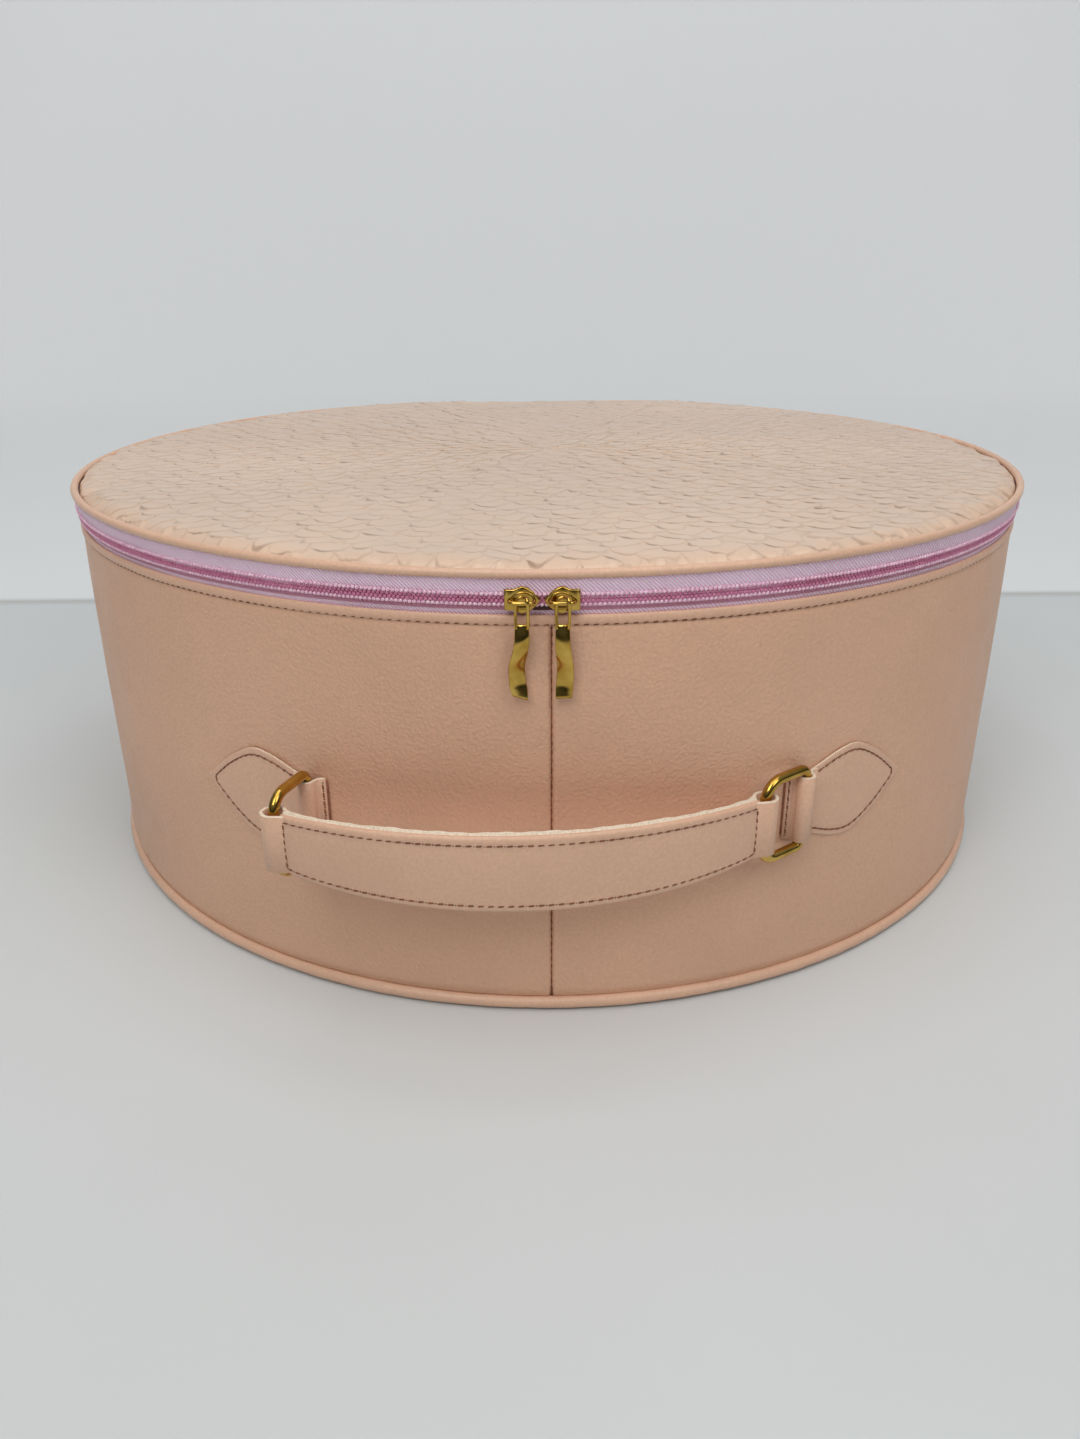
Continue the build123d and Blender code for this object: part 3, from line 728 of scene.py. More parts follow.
def tube(name, path, radius, material, sides=16, closed=False):
    """Round tube along a list of points; radius may vary along it."""
    path = np.asarray(path, float)
    if closed:
        tangent = unit(np.roll(path, -1, 0) - np.roll(path, 1, 0))
    else:
        tangent = unit(np.gradient(path, axis=0))
    normal = np.zeros_like(tangent)
    start = np.cross(tangent[0], (0.0, 0.0, 1.0))
    if np.linalg.norm(start) < 1e-3:
        start = np.cross(tangent[0], (0.0, 1.0, 0.0))
    normal[0] = start / np.linalg.norm(start)
    for i in range(1, len(path)):
        n = normal[i - 1] - tangent[i] * np.dot(normal[i - 1], tangent[i])
        normal[i] = n / np.linalg.norm(n)
    if closed:
        drift = np.cross(normal[-1], normal[0]) @ tangent[0]
        back = math.asin(max(-1, min(1, drift)))
        share = np.linspace(0, back, len(path))[:, None]
        side = np.cross(tangent, normal)
        normal = normal * np.cos(share) + side * np.sin(share)
    side = np.cross(tangent, normal)
    turn = np.linspace(0, 2 * math.pi, sides, endpoint=False)
    radius = np.broadcast_to(np.asarray(radius, float).reshape(-1, 1, 1), (len(path), 1, 1))
    cosine, sine = np.cos(turn)[None, :, None], np.sin(turn)[None, :, None]
    ring = normal[:, None] * cosine + side[:, None] * sine
    points = path[:, None] + ring * radius
    return loft(name, points, material, close_rows=closed, close_columns=True, caps=not closed)


def build_piping():
    """Two covered cords round the outline."""
    s = evenly(-HALF_LENGTH, HALF_LENGTH, 1.5 * MM)[:-1]
    turn = np.linspace(0, 2 * math.pi, 20, endpoint=False)
    for name, box, body in (("base", BASE_PIPE, "case"), ("lid", LID_PIPE, "lid")):
        size = PIPE_RADIUS if body == "case" else LID_PIPE_RADIUS
        centre = box[1].x - RADIUS - PIPE_RADIUS
        centre_z = (box[0].z + box[1].z) / 2
        if body == "lid":
            centre, centre_z = LID_PIPE_OUT, box[1].z - size - 0.3 * MM
        ss, tt = np.meshgrid(s, turn, indexing="ij")
        ripple = 1 + 0.035 * np.sin(ss / (2.1 * MM)) * np.sin(ss / (5.3 * MM))
        ripple = ripple + 0.02 * np.sin(ss / (13 * MM))
        radius = size * ripple
        sag = 0.15 * MM * np.sin(ss / (41 * MM))
        points = lay(ss, centre + radius * np.cos(tt), centre_z + radius * np.sin(tt) * 0.98 + sag)
        pipe = loft(name + "_piping", points[:, ::-1], PIPE_LEATHER, True, True)
        keep(pipe, body, "piping_leatherette", name + "_piping_sleeve", name + "_piping_cord")


# ------------------------------------------------------------ lid
def build_lid():
    """Padded panel, puckered where it is sewn in beside the piping."""
    edge = np.array([-0.2, 0.0, 0.25, 0.6, 1.1, 1.8, 2.5, 3.6, 5.0, 6.8, 9.0, 11.5, 14.5]) * MM
    inner = np.linspace(17 * MM, RADIUS - PANEL_INSET - 1.5 * MM, 84)
    inset = np.concatenate([edge, inner])
    s = evenly(-HALF_LENGTH, HALF_LENGTH, 1.25 * MM)[:-1]
    ss, ii = np.meshgrid(s, inset, indexing="ij")
    share = np.clip(ii / (RADIUS - PANEL_INSET), 0, 1)
    points = lay(ss, -PANEL_START - np.minimum(ii, PANEL_EDGE), 0.0 * ss)
    # past its edge, the rings shrink evenly towards the middle
    ring = lay(s, -PANEL_START - PANEL_EDGE, 0.0 * s)[:, None, :2]
    reach = np.clip((ii - PANEL_EDGE) / (inset[-1] - PANEL_EDGE), 0, 1)[..., None]
    deep = ii[..., None] > PANEL_EDGE
    points[..., :2] = np.where(deep, ring * (1 - reach * 0.994), points[..., :2])
    rise = LID_TOP_Z - LID_SEAM_Z
    roll = 1 - np.exp(-np.clip(ii + 0.2 * MM, 0, 1) / (2.0 * MM))
    crown = 0.9 * MM * np.sqrt(np.clip(share, 0, 1))
    z = LID_SEAM_Z - 0.6 * MM + (rise - 0.3 * MM) * roll + crown
    sizes = ((3.2 * MM, 0.0), (6.5 * MM, 3.0), (16 * MM, 6.0))
    waves = [wobble(s, 0.0 * s, size, seed) for size, seed in sizes]
    folds = 1.3 * waves[1] - 0.9 * np.exp(-((waves[0] / 0.07) ** 2))
    folds = folds - 0.6 * np.exp(-((waves[1] / 0.05) ** 2))
    pucker = folds[:, None] * np.exp(-((ii - 1.8 * MM) / (3.0 * MM)) ** 2)
    swell = 0.9 * waves[2][:, None] * np.exp(-((ii - 3 * MM) / (12 * MM)) ** 2)
    z = z + (pucker + swell) * MM
    x, y = points[..., 0], points[..., 1]
    relief = scale_height(x / MM, y / MM) * 0.5 * MM
    z = z + relief * np.clip(ii / (4 * MM), 0, 1)
    flat = points[..., :2].reshape(-1, 2)
    soft = np.array([noise.noise(Vector((a * 14, b * 14, 2.0))) for a, b in flat])
    z = z + soft.reshape(z.shape) * 0.45 * MM * np.clip(ii / (20 * MM), 0, 1)
    points[..., 2] = z
    last = len(inset)
    vertices = points.reshape(-1, 3)
    faces = [f[::-1] for f in grid_faces(len(s), last, close_rows=True)]
    middle = len(vertices)
    vertices = np.vstack([vertices, points[:, -1].mean(0)])
    rows = len(s)
    inmost = [k * last + last - 1 for k in range(rows)]
    faces += [[middle, inmost[(k + 1) % rows], inmost[k]] for k in range(rows)]
    panel = add("lid_panel", vertices, faces, LID_LEATHER)
    keep(panel, "lid", "lid_leatherette", "lid_skin", "lid_foam")


# ------------------------------------------------------------ zip
def zip_bulge(z):
    """How far out the zip stands at a height: the tape bellies between rim and lid."""
    share = (z - RIM_Z) / (LID_SEAM_Z - RIM_Z)
    return (-1.15 + 1.75 * np.sin(np.clip(share, 0, 1) * math.pi * 0.62)) * MM


def build_tape(name, low, high, body, node):
    """One side's tape, as a thin woven band."""
    s = evenly(-ZIP_HALF, ZIP_HALF, 2.0 * MM)
    z = np.linspace(low, high, 11)
    ss, zz = np.meshgrid(s, z, indexing="ij")
    bow = 0.12 * MM * np.sin(ss / (23 * MM)) + 0.10 * MM * np.sin(ss / (7.7 * MM))
    points = lay(ss, zip_bulge(zz) + bow, zz)
    flat = np.stack([ss, zz], -1)
    tape = loft(name, points, TAPE, flat=flat)
    thicken(tape, TAPE_THICKNESS)
    keep(tape, body, "zip_tape", node)


def build_chain(name, sign, body, node):
    """One row of coil loops with its line of sewing thread."""
    s = np.arange(-ZIP_HALF + CHAIN_END, ZIP_HALF - CHAIN_END, COIL_PITCH)
    s = s + (COIL_PITCH / 2 if sign < 0 else 0.0)
    jitter = RNG.normal(0, 0.02, s.shape) * MM
    z = ZIP_Z + sign * 0.56 * MM
    out = float(zip_bulge(ZIP_Z)) + 0.05 * MM
    centres = lay(s, out, z + jitter)
    outward = facing(s, z)
    tangent = np.cross(UP, outward)
    up = UP + 0.12 * tangent
    upright = up * np.ones((len(s), 1))
    loops = beads(
        name + "_coil", centres, upright, outward, 0.60 * MM, 0.63 * MM, 0.42 * MM, COIL
    )
    keep(loops, body, "zip_coil", node)
    height = ZIP_Z + sign * 1.62 * MM
    place = lay(s + COIL_PITCH / 2, float(zip_bulge(height)) + 0.36 * MM, height + jitter)
    across = tangent + 0.45 * UP
    knots = beads(
        name + "_thread", place, across, outward, 0.60 * MM, 0.54 * MM, 0.42 * MM, COIL_THREAD
    )
    keep(knots, body, "zip_tape")


def build_zip():
    gap = 0.25 * MM
    build_tape("tape_lower", TAPE_LOW_Z, ZIP_Z - gap, "case", "zip_tape_lower")
    build_tape("tape_upper", ZIP_Z + gap, TAPE_TOP_Z, "lid", "zip_tape_upper")
    build_chain("chain_lower", -1, "case", "zip_coil_lower")
    build_chain("chain_upper", 1, "lid", "zip_coil_upper")


def build_nose_gap_shade():
    """A small dark capsule, painted as the shade in the opening under the two slider noses."""
    pivots = [Vector(JOINTS[f"pull_{side}_swing"]["pos_m"]).x for side in ("left", "right")]
    s = np.array([sum(pivots) / 2])
    height = ZIP_Z - 2.6 * MM
    outward = facing(s, height)
    tangent = np.cross(UP, outward)
    place = lay(s, float(zip_bulge(height)) + 0.05 * MM, height)
    opening = beads("nose_gap_shade", place, tangent, outward, 4.6 * MM, 0.85 * MM, 0.30 * MM, HOLE_SHADE)
    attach(opening, "case")


def build_hinge():
    """Leatherette strip over the hinge, between the wall and the lid."""
    x = np.linspace(-HINGE_HALF, HINGE_HALF, 90)
    z = np.linspace(RIM_Z - 1.2 * MM, LID_SEAM_Z - 0.2 * MM, 15)
    xx, zz = np.meshgrid(x, z, indexing="ij")
    sag = 0.25 * MM * np.sin(xx / (11 * MM)) * np.sin((zz - RIM_Z) / (4 * MM))
    y = FLAT_Y - TAPE_OUT + 0.1 * MM + sag
    strip = loft("hinge_cover", np.stack([xx, y, zz], -1)[::-1], HEM_LEATHER)
    thicken(strip, HINGE_THICKNESS)
    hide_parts("hinge_strip", "hinge_lining")
    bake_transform(strip)


def build_bindings():
    """Woven tape over the raw edges inside the rim and inside the lid."""
    rim = np.array([
        (-2.25, 0.15), (-3.2, 0.35), (-5.2, 0.38), (-6.9, 0.2),
        (-7.35, -0.6), (-7.4, -7.5), (-7.0, -8.0),
    ])
    lid_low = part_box("lid_lining")[0].z
    lid_edge = (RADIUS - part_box("lid_lining")[1].x) / MM
    lid = np.array([
        (-2.2, 2.6), (-2.6, 1.0), (-lid_edge + 0.1, -0.2), (-lid_edge - 1.0, -0.45),
        (-lid_edge - 8.0, -0.42), (-lid_edge - 8.4, 0.0),
    ])
    s = evenly(-HALF_LENGTH, HALF_LENGTH, 2.0 * MM)[:-1]
    bands = (("rim_binding", rim, RIM_Z, "case"), ("lid_binding", lid, lid_low, "lid"))
    for name, profile, base, body in bands:
        ss, k = np.meshgrid(s, np.arange(len(profile)), indexing="ij")
        pucker = 0.12 * MM * np.sin(ss / (2.3 * MM)) * np.sin(ss / (17 * MM))
        points = lay(ss, profile[k, 0] * MM, base + profile[k, 1] * MM + pucker)
        band = loft(name, points, BINDING, close_rows=True)
        keep(band, body, "lining")


# ------------------------------------------------------------ metal
def zip_place(side):
    """A pull's pivot, and a function that places points given in millimetres from it.

    The points are (along the zip, out, up).
    """
    pivot = Vector(JOINTS["pull_" + side + "_swing"]["pos_m"])
    outward = Vector((pivot.x, pivot.y, 0)).normalized()
    up = Vector((0, 0, 1))
    a, o, u = (np.array(v) for v in (up.cross(outward), outward, up))

    def place(points):
        p = np.asarray(points, float) * MM
        return np.array(pivot) + p[..., 0:1] * a + p[..., 1:2] * o + p[..., 2:3] * u

    return pivot, place


def plate_shape(name, outline, levels, place):
    """Rounded plate: copies of an outline, each (scale, out), joined and capped."""
    rings = [
        np.column_stack([outline[:, 0] * k, np.full(len(outline), out), outline[:, 1] * k])
        for k, out in levels
    ]
    points = place(np.array(rings))
    return loft(name, points, GOLD, close_columns=True, caps=True)


def slider_outline(nose):
    """Square tail and leaf-shaped nose, in millimetres along and up."""
    tail = [(-5.2, 3.1), (-5.2, -3.1), (-2.5, -3.15), (-1.6, -3.5), (0.0, -4.2)]
    lower = [(1.8, -3.5), (3.4, -2.3), (4.6, -1.1), (5.25, 0.0)]
    upper = [(x, -y) for x, y in reversed(lower[:-1])]
    rest = [(0.0, 4.2), (-1.6, 3.5), (-2.5, 3.15)]
    points = np.array(tail + lower + upper + rest)
    points[:, 0] *= nose
    dense = []
    for a, b in zip(points, np.roll(points, -1, 0)):
        dense += [a + (b - a) * t for t in (0.0, 0.33, 0.67)]
    return np.array(dense)


def build_slider(side, nose):
    _, place = zip_place(side)
    face = -(BAIL_OUT - FACE_OUT) / MM
    outline = slider_outline(nose)
    if nose < 0:
        outline = outline[::-1]
    front = [
        (0.90, face - 1.2), (0.985, face - 1.1), (1.0, face - 0.85),
        (1.0, face - 0.3), (0.975, face - 0.08), (0.90, face),
    ]
    plate = plate_shape("slider_" + side + "_plate", outline, front, place)
    turns = np.linspace(0, 2 * math.pi, 40, endpoint=False)
    oval = np.array([(3.7 * math.cos(t) + 0.35 * nose, 2.75 * math.sin(t)) for t in turns])
    oval = oval[::-1]
    crown = [
        (1.0, face - 0.1), (0.99, face + 0.22), (0.93, face + 0.42),
        (0.80, face + 0.46), (0.72, face + 0.30), (0.5, face + 0.22),
    ]
    boss = plate_shape("slider_" + side + "_crown", oval, crown, place)
    inner = -(BAIL_OUT - BACK_IN) / MM
    back_levels = [(0.92, inner), (1.0, inner + 0.25), (0.97, inner + 1.1)]
    back = plate_shape("slider_" + side + "_back", outline * 0.97, back_levels, place)
    half_bail = [(3.6, -0.1), (3.55, 1.6), (3.1, 2.7), (2.2, 3.15)]
    path = [(-x, face + rise, 0) for x, rise in half_bail] + [(0, face + 3.3, 0)]
    path += [(x, face + rise, 0) for x, rise in reversed(half_bail)]
    dense = resample(np.array(path, float), 40)
    bail = tube("slider_" + side + "_bail", place(dense), 0.62 * MM, GOLD, 12)
    post_path = place([(1.9 * nose, face - depth, 0) for depth in (4.6, 2.0, 0.6)])
    post = tube("slider_" + side + "_post", post_path, 0.24 * MM, GOLD, 8)
    keep(plate, "slider_" + side, "gold_metal", "slider_" + side)
    for piece in (boss, back, bail, post):
        keep(piece, "slider_" + side, "gold_metal")


def resample(points, count):
    """Points evenly spaced along a smooth open curve through the given ones."""
    points = np.asarray(points, float)
    padded = np.vstack([2 * points[0] - points[1], points, 2 * points[-1] - points[-2]])
    t = np.linspace(0, len(points) - 1 - 1e-9, count * 6)
    i = np.floor(t).astype(int)
    f = (t - i)[:, None]
    p0, p1, p2, p3 = (padded[i + k] for k in range(4))
    square = (2 * p0 - 5 * p1 + 4 * p2 - p3) * f**2
    cube = (3 * p1 - p0 - 3 * p2 + p3) * f**3
    curve = 0.5 * (2 * p1 + (p2 - p0) * f + square + cube)
    length = np.r_[0, np.cumsum(np.linalg.norm(np.diff(curve, axis=0), axis=1))]
    at = np.linspace(0, length[-1], count)
    return np.stack([np.interp(at, length, curve[:, k]) for k in range(points.shape[1])], -1)


def strip(name, centre, width_dir, normal_dir, half_width, half_thick, place, material):
    """Flat bar with rounded edges along a list of local points."""
    corner = np.array([
        (-1, -0.55), (-0.93, -1), (0.93, -1), (1, -0.55),
        (1, 0.55), (0.93, 1), (-0.93, 1), (-1, 0.55),
    ])
    width_dir, normal_dir = unit(np.asarray(width_dir, float)), unit(np.asarray(normal_dir, float))
    half_width = np.broadcast_to(np.asarray(half_width, float), (len(centre),))
    ring = (
        centre[:, None]
        + width_dir[:, None] * (corner[None, :, 0:1] * half_width[:, None, None])
        + normal_dir[:, None] * (corner[None, :, 1:2] * half_thick)
    )
    return loft(name, place(ring), material, close_columns=True, caps=True)


def build_pull(side, sway, tip_slant, twist):
    pivot, place = zip_place(side)
    length = (pivot.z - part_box("pull_" + side)[0].z) / MM
    down = np.linspace(6.6, length - 0.3, 40)
    t = (down - 6.6) / (length - 6.9)
    x = np.interp(t, (0, 0.25, 0.6, 0.85, 1), np.array((0.0, 0.0, 1.0, 0.75, 0.35)) * sway)
    x = np.convolve(np.pad(x, 3, mode="edge"), np.ones(7) / 7, "valid")
    out = -0.6 + 0.95 * np.sin(2 * math.pi * (1.15 * t - 0.1)) - 1.2 * t
    centre = np.stack([x, out, -down], -1)
    angle = twist * np.sin(t * math.pi * 0.9)
    width_dir = np.stack([np.cos(angle), np.sin(angle), 0 * t], -1)
    width_dir[-6:, 2] += tip_slant * np.linspace(0, 1, 6)
    normal_dir = np.stack([-np.sin(angle), np.cos(angle), 0.15 * np.cos(t * 5)], -1)
    half = np.interp(t, (0, 0.12, 0.5, 0.9, 1), (2.0, 2.15, 2.45, 2.6, 2.45))
    blade = strip("pull_" + side + "_blade", centre, width_dir, normal_dir, half, 0.5, place, GOLD)
    keep(blade, "pull_" + side, "gold_metal", "pull_" + side)
    eye = [
        (1.75, -0.55, -7.8), (1.85, 0.2, -5.5), (1.9, 1.15, -2.4), (1.85, 1.35, 0.2),
        (1.6, 0.85, 1.45), (1.2, -0.35, 1.75), (0.4, -1.35, 1.55), (-0.7, -1.45, 1.3),
        (-1.5, -1.4, 0.6), (-1.8, -1.35, -1.2), (-1.85, -1.1, -4.0), (-1.75, -0.55, -7.8),
    ]
    loop = tube("pull_" + side + "_eye", place(resample(np.array(eye), 70)), 0.50 * MM, GOLD, 10)
    keep(loop, "pull_" + side, "gold_metal")


def build_ring(side):
    """D-ring of round wire: straight bar at the tab, rounded far side at the strap."""
    bar = Vector(JOINTS["ring_" + side + "_swivel"]["pos_m"])
    far = FAR[side]
    direction = np.array((far - bar).normalized())
    reach = (far - bar).length / MM
    half = (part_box("ring_" + side)[1].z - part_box("ring_" + side)[0].z) / 2 / MM - RING_WIRE
    path = []
    wide, tight = 6.5, 3.0
    corners = (
        (reach - wide, half - wide, wide, 0), (tight, half - tight, tight, 90),
        (tight, tight - half, tight, 180), (reach - wide, wide - half, wide, 270),
    )
    for cx, cz, r, start in corners:
        for a in np.linspace(start, start + 90, 9 if r < 4 else 14):
            path.append((cx + r * math.cos(math.radians(a)), cz + r * math.sin(math.radians(a))))
    path = np.array(path)
    dense = []
    for a, b in zip(path, np.roll(path, -1, 0)):
        steps = max(1, int(np.linalg.norm(b - a) / 1.2))
        dense += [a + (b - a) * k / steps for k in range(steps)]
    dense = np.array(dense) * MM
    points = np.array(bar) + dense[:, 0:1] * direction + dense[:, 1:2] * UP
    ring = tube("ring_" + side + "_wire", points, RING_WIRE * MM, GOLD, 20, closed=True)
    keep(ring, "ring_" + side, "gold_metal", "ring_" + side)


BAIL_OUT = Vector(JOINTS["pull_left_swing"]["pos_m"][:2]).length
FACE_OUT = BAIL_OUT - BAIL_STANDOFF
BACK_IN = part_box("zip_tape_lower")[1].x - BACK_GAP
LEFT_END = Vector(JOINTS["handle_swivel"]["pos_m"])


def right_ring_end():
    """The right ring's far side, as far from its bar as the left one's is."""
    left_bar = Vector(JOINTS["ring_left_swivel"]["pos_m"])
    bar = Vector(JOINTS["ring_right_swivel"]["pos_m"])
    reach = (LEFT_END - left_bar).length
    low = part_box("ring_right")[0]
    across = bar.x - (low.x + RING_WIRE * MM)
    return bar + Vector((-across, -math.sqrt(reach**2 - across**2), 0))


FAR = {"left": LEFT_END, "right": right_ring_end()}


# ------------------------------------------------------------ strap
def strap_curve():
    """Circle through both ring ends, bowed out by STRAP_RISE."""
    left, right = FAR["left"], FAR["right"]
    middle = (left + right) / 2
    chord = right - left
    half = chord.length / 2
    along = chord.normalized()
    out = Vector((along.y, -along.x, 0))
    bow = (half**2 + STRAP_RISE**2) / (2 * STRAP_RISE)
    centre = middle - out * (bow - STRAP_RISE)
    reach = math.asin(half / bow)
    return centre, along, out, bow, reach


CENTRE, ALONG, OUT, BOW, REACH = strap_curve()


def strap_point(arc, out, z):
    """Points on the strap: arc metres from its middle, out from its centre line, and height."""
    arc, out, z = np.broadcast_arrays(arc, out, z)
    turn = arc / BOW
    radial = np.sin(turn)[..., None] * np.array(ALONG) + np.cos(turn)[..., None] * np.array(OUT)
    point = np.array(CENTRE) + radial * (BOW + out)[..., None]
    point[..., 2] = RING_Z + z
    return point, radial


STRAP_HALF = BOW * REACH


def half_width_at(arc):
    """Half the strap's width, in metres: widest in the middle."""
    share = np.clip(np.abs(arc) / STRAP_HALF, 0, 1)
    return (12.9 - 3.0 * share**2.2) * MM


def strap_section():
    """Closed cross-section as (out, up) shares; the top edge is rolled to the front."""
    return np.array([
        (1.62, -0.80), (1.90, -0.60), (2.05, -0.30), (2.10, 0.0), (2.05, 0.30), (1.92, 0.58),
        (1.58, 0.76), (1.85, 0.84), (1.75, 0.93), (1.2, 0.985), (0.4, 0.99), (-0.25, 0.95),
        (-0.45, 1.015), (-0.85, 1.025),
        (-1.25, 1.01), (-1.5, 0.90), (-1.85, 0.55), (-1.85, 0.0), (-1.85, -0.40), (-1.75, -0.80),
        (-1.35, -0.97), (-0.3, -1.0), (0.8, -0.995), (1.45, -0.965), (1.60, -0.90),
    ])


def folded(path, ply, bulge):
    """A ply bent along a path: the ring of points at each step, and each one's place across."""
    section = np.array([
        (-0.5, -1), (-0.5, 1), (-0.3, bulge), (0.3, bulge),
        (0.5, 1), (0.5, -1), (0.3, -bulge), (-0.3, -bulge),
    ])
    line = resample(np.array(path), 60)
    tangent = unit(np.gradient(line, axis=0))
    normal = np.stack([-tangent[:, 1], tangent[:, 0]], -1)
    ring = line[:, None] + normal[:, None] * (section[None, :, 0:1] * ply)
    return ring, np.broadcast_to(section[None, :, 1], ring.shape[:2])


def pale_edges(piece, points, pale, caps=False):
    """Shows the cut edge on some columns of a lofted piece, and on its end caps if asked."""
    steps, columns = points.shape[0] - 1, points.shape[1]
    piece.data.materials.append(CUT_EDGE)
    for index, polygon in enumerate(piece.data.polygons):
        cut = index % columns in pale if index < steps * columns else caps
        if cut:
            polygon.material_index = 1


def build_strap():
    section = strap_section()
    face_end = STRAP_HALF - 3.7 * MM
    arc = evenly(-face_end, face_end, 0.74 * MM)
    aa, k = np.meshgrid(arc, np.arange(len(section)), indexing="ij")
    half = half_width_at(aa)
    share = section[k, 1]
    out = section[k, 0] * MM
    to_end = np.clip((face_end - np.abs(aa)) / STRAP_PUFF_END, 0, 1)
    puff = np.where(out > 0, 0.62 + 0.38 * np.sin(to_end * math.pi / 2), 1.0)
    ripple = 0.10 * np.sin(aa / (6.1 * MM)) * np.sin(aa / (15 * MM) + share)
    line = np.exp(-(((np.abs(share) - 0.77) / 0.07) ** 2))
    pucker = 0.07 * np.cos(2 * math.pi * aa / STITCH_PITCH) * line * (out > 0)
    out = out * puff + (ripple * (np.abs(share) < 0.9) + pucker) * MM
    ragged = (k >= 12) & (k <= 14)
    fray = 0.22 * np.sin(aa / (3.7 * MM)) * np.sin(aa / (9.1 * MM)) + 0.10 * np.sin(aa / (1.1 * MM))
    points, _ = strap_point(aa, out, half * share + ragged * fray * MM)
    body = loft("strap_body", points[:, ::-1], STRAP_LEATHER, close_columns=True, caps=True)
    pale_edges(body, points, {len(section) - 2 - c for c in (11, 12, 13)})
    keep(body, "handle", "strap_leatherette", "handle_cover", "handle_pad")
    count = int(2 * (face_end - 1.2 * MM) / STITCH_PITCH)
    arc = np.linspace(-face_end + 1.2 * MM, face_end - 1.2 * MM, count + 1)
    for name, share in (("top", 0.77), ("bottom", -0.82)):
        ends = np.clip((face_end - np.abs(arc)) / STRAP_PUFF_END, 0, 1)
        lift = 1.60 * (0.62 + 0.38 * np.sin(ends * math.pi / 2)) * MM
        points, radial = strap_point(arc, lift, half_width_at(arc) * share)
        stitch_row("strap_stitches_" + name, points, radial, "handle")
    for name, sign in (("left", -1), ("right", 1)):
        z = np.linspace(-0.80, 0.76, 7) * half_width_at(np.array(face_end))
        here = sign * (face_end - 1.6 * MM)
        points, radial = strap_point(np.full(7, here), 1.66 * MM, z)
        stitch_row("strap_stitches_" + name, points, radial, "handle")
        build_strap_loop(name, sign)


def build_strap_loop(name, sign):
    """Unpadded end of the strap, folded round the ring and sewn down behind."""
    ring_gap = 3.05 * MM
    ply = 1.15 * MM
    start = 12.5 * MM
    radius = ring_gap + ply / 2
    path = [(start, 0.1 * MM), (9.5 * MM, 0.1 * MM), (6.4 * MM, 0.45 * MM), (4.6 * MM, 1.5 * MM)]
    around = np.radians(np.linspace(50, 310, 17))
    path += [(radius * math.cos(a), radius * math.sin(a)) for a in around]
    path += [(4.6 * MM, -2.2 * MM), (6.8 * MM, -1.7 * MM), (9.5 * MM, -1.5 * MM)]
    path += [(start, -1.4 * MM)]
    ring, across = folded(path, ply, 1.02)
    z = across * LOOP_HALF_WIDTH
    end_arc = sign * STRAP_HALF
    points, _ = strap_point(end_arc - sign * ring[..., 0], ring[..., 1], z)
    if sign > 0:
        points = points[:, ::-1]
    loop = loft("strap_loop_" + name, points, STRAP_LEATHER, close_columns=True, caps=True)
    if sign > 0:
        pale_edges(loop, ring, {0, 1, 3, 4, 5}, caps=True)
    else:
        pale_edges(loop, ring, FOLD_EDGES)
    nodes = ("handle_back_strap",) if sign < 0 else ()
    keep(loop, "handle", "strap_leatherette", *nodes)


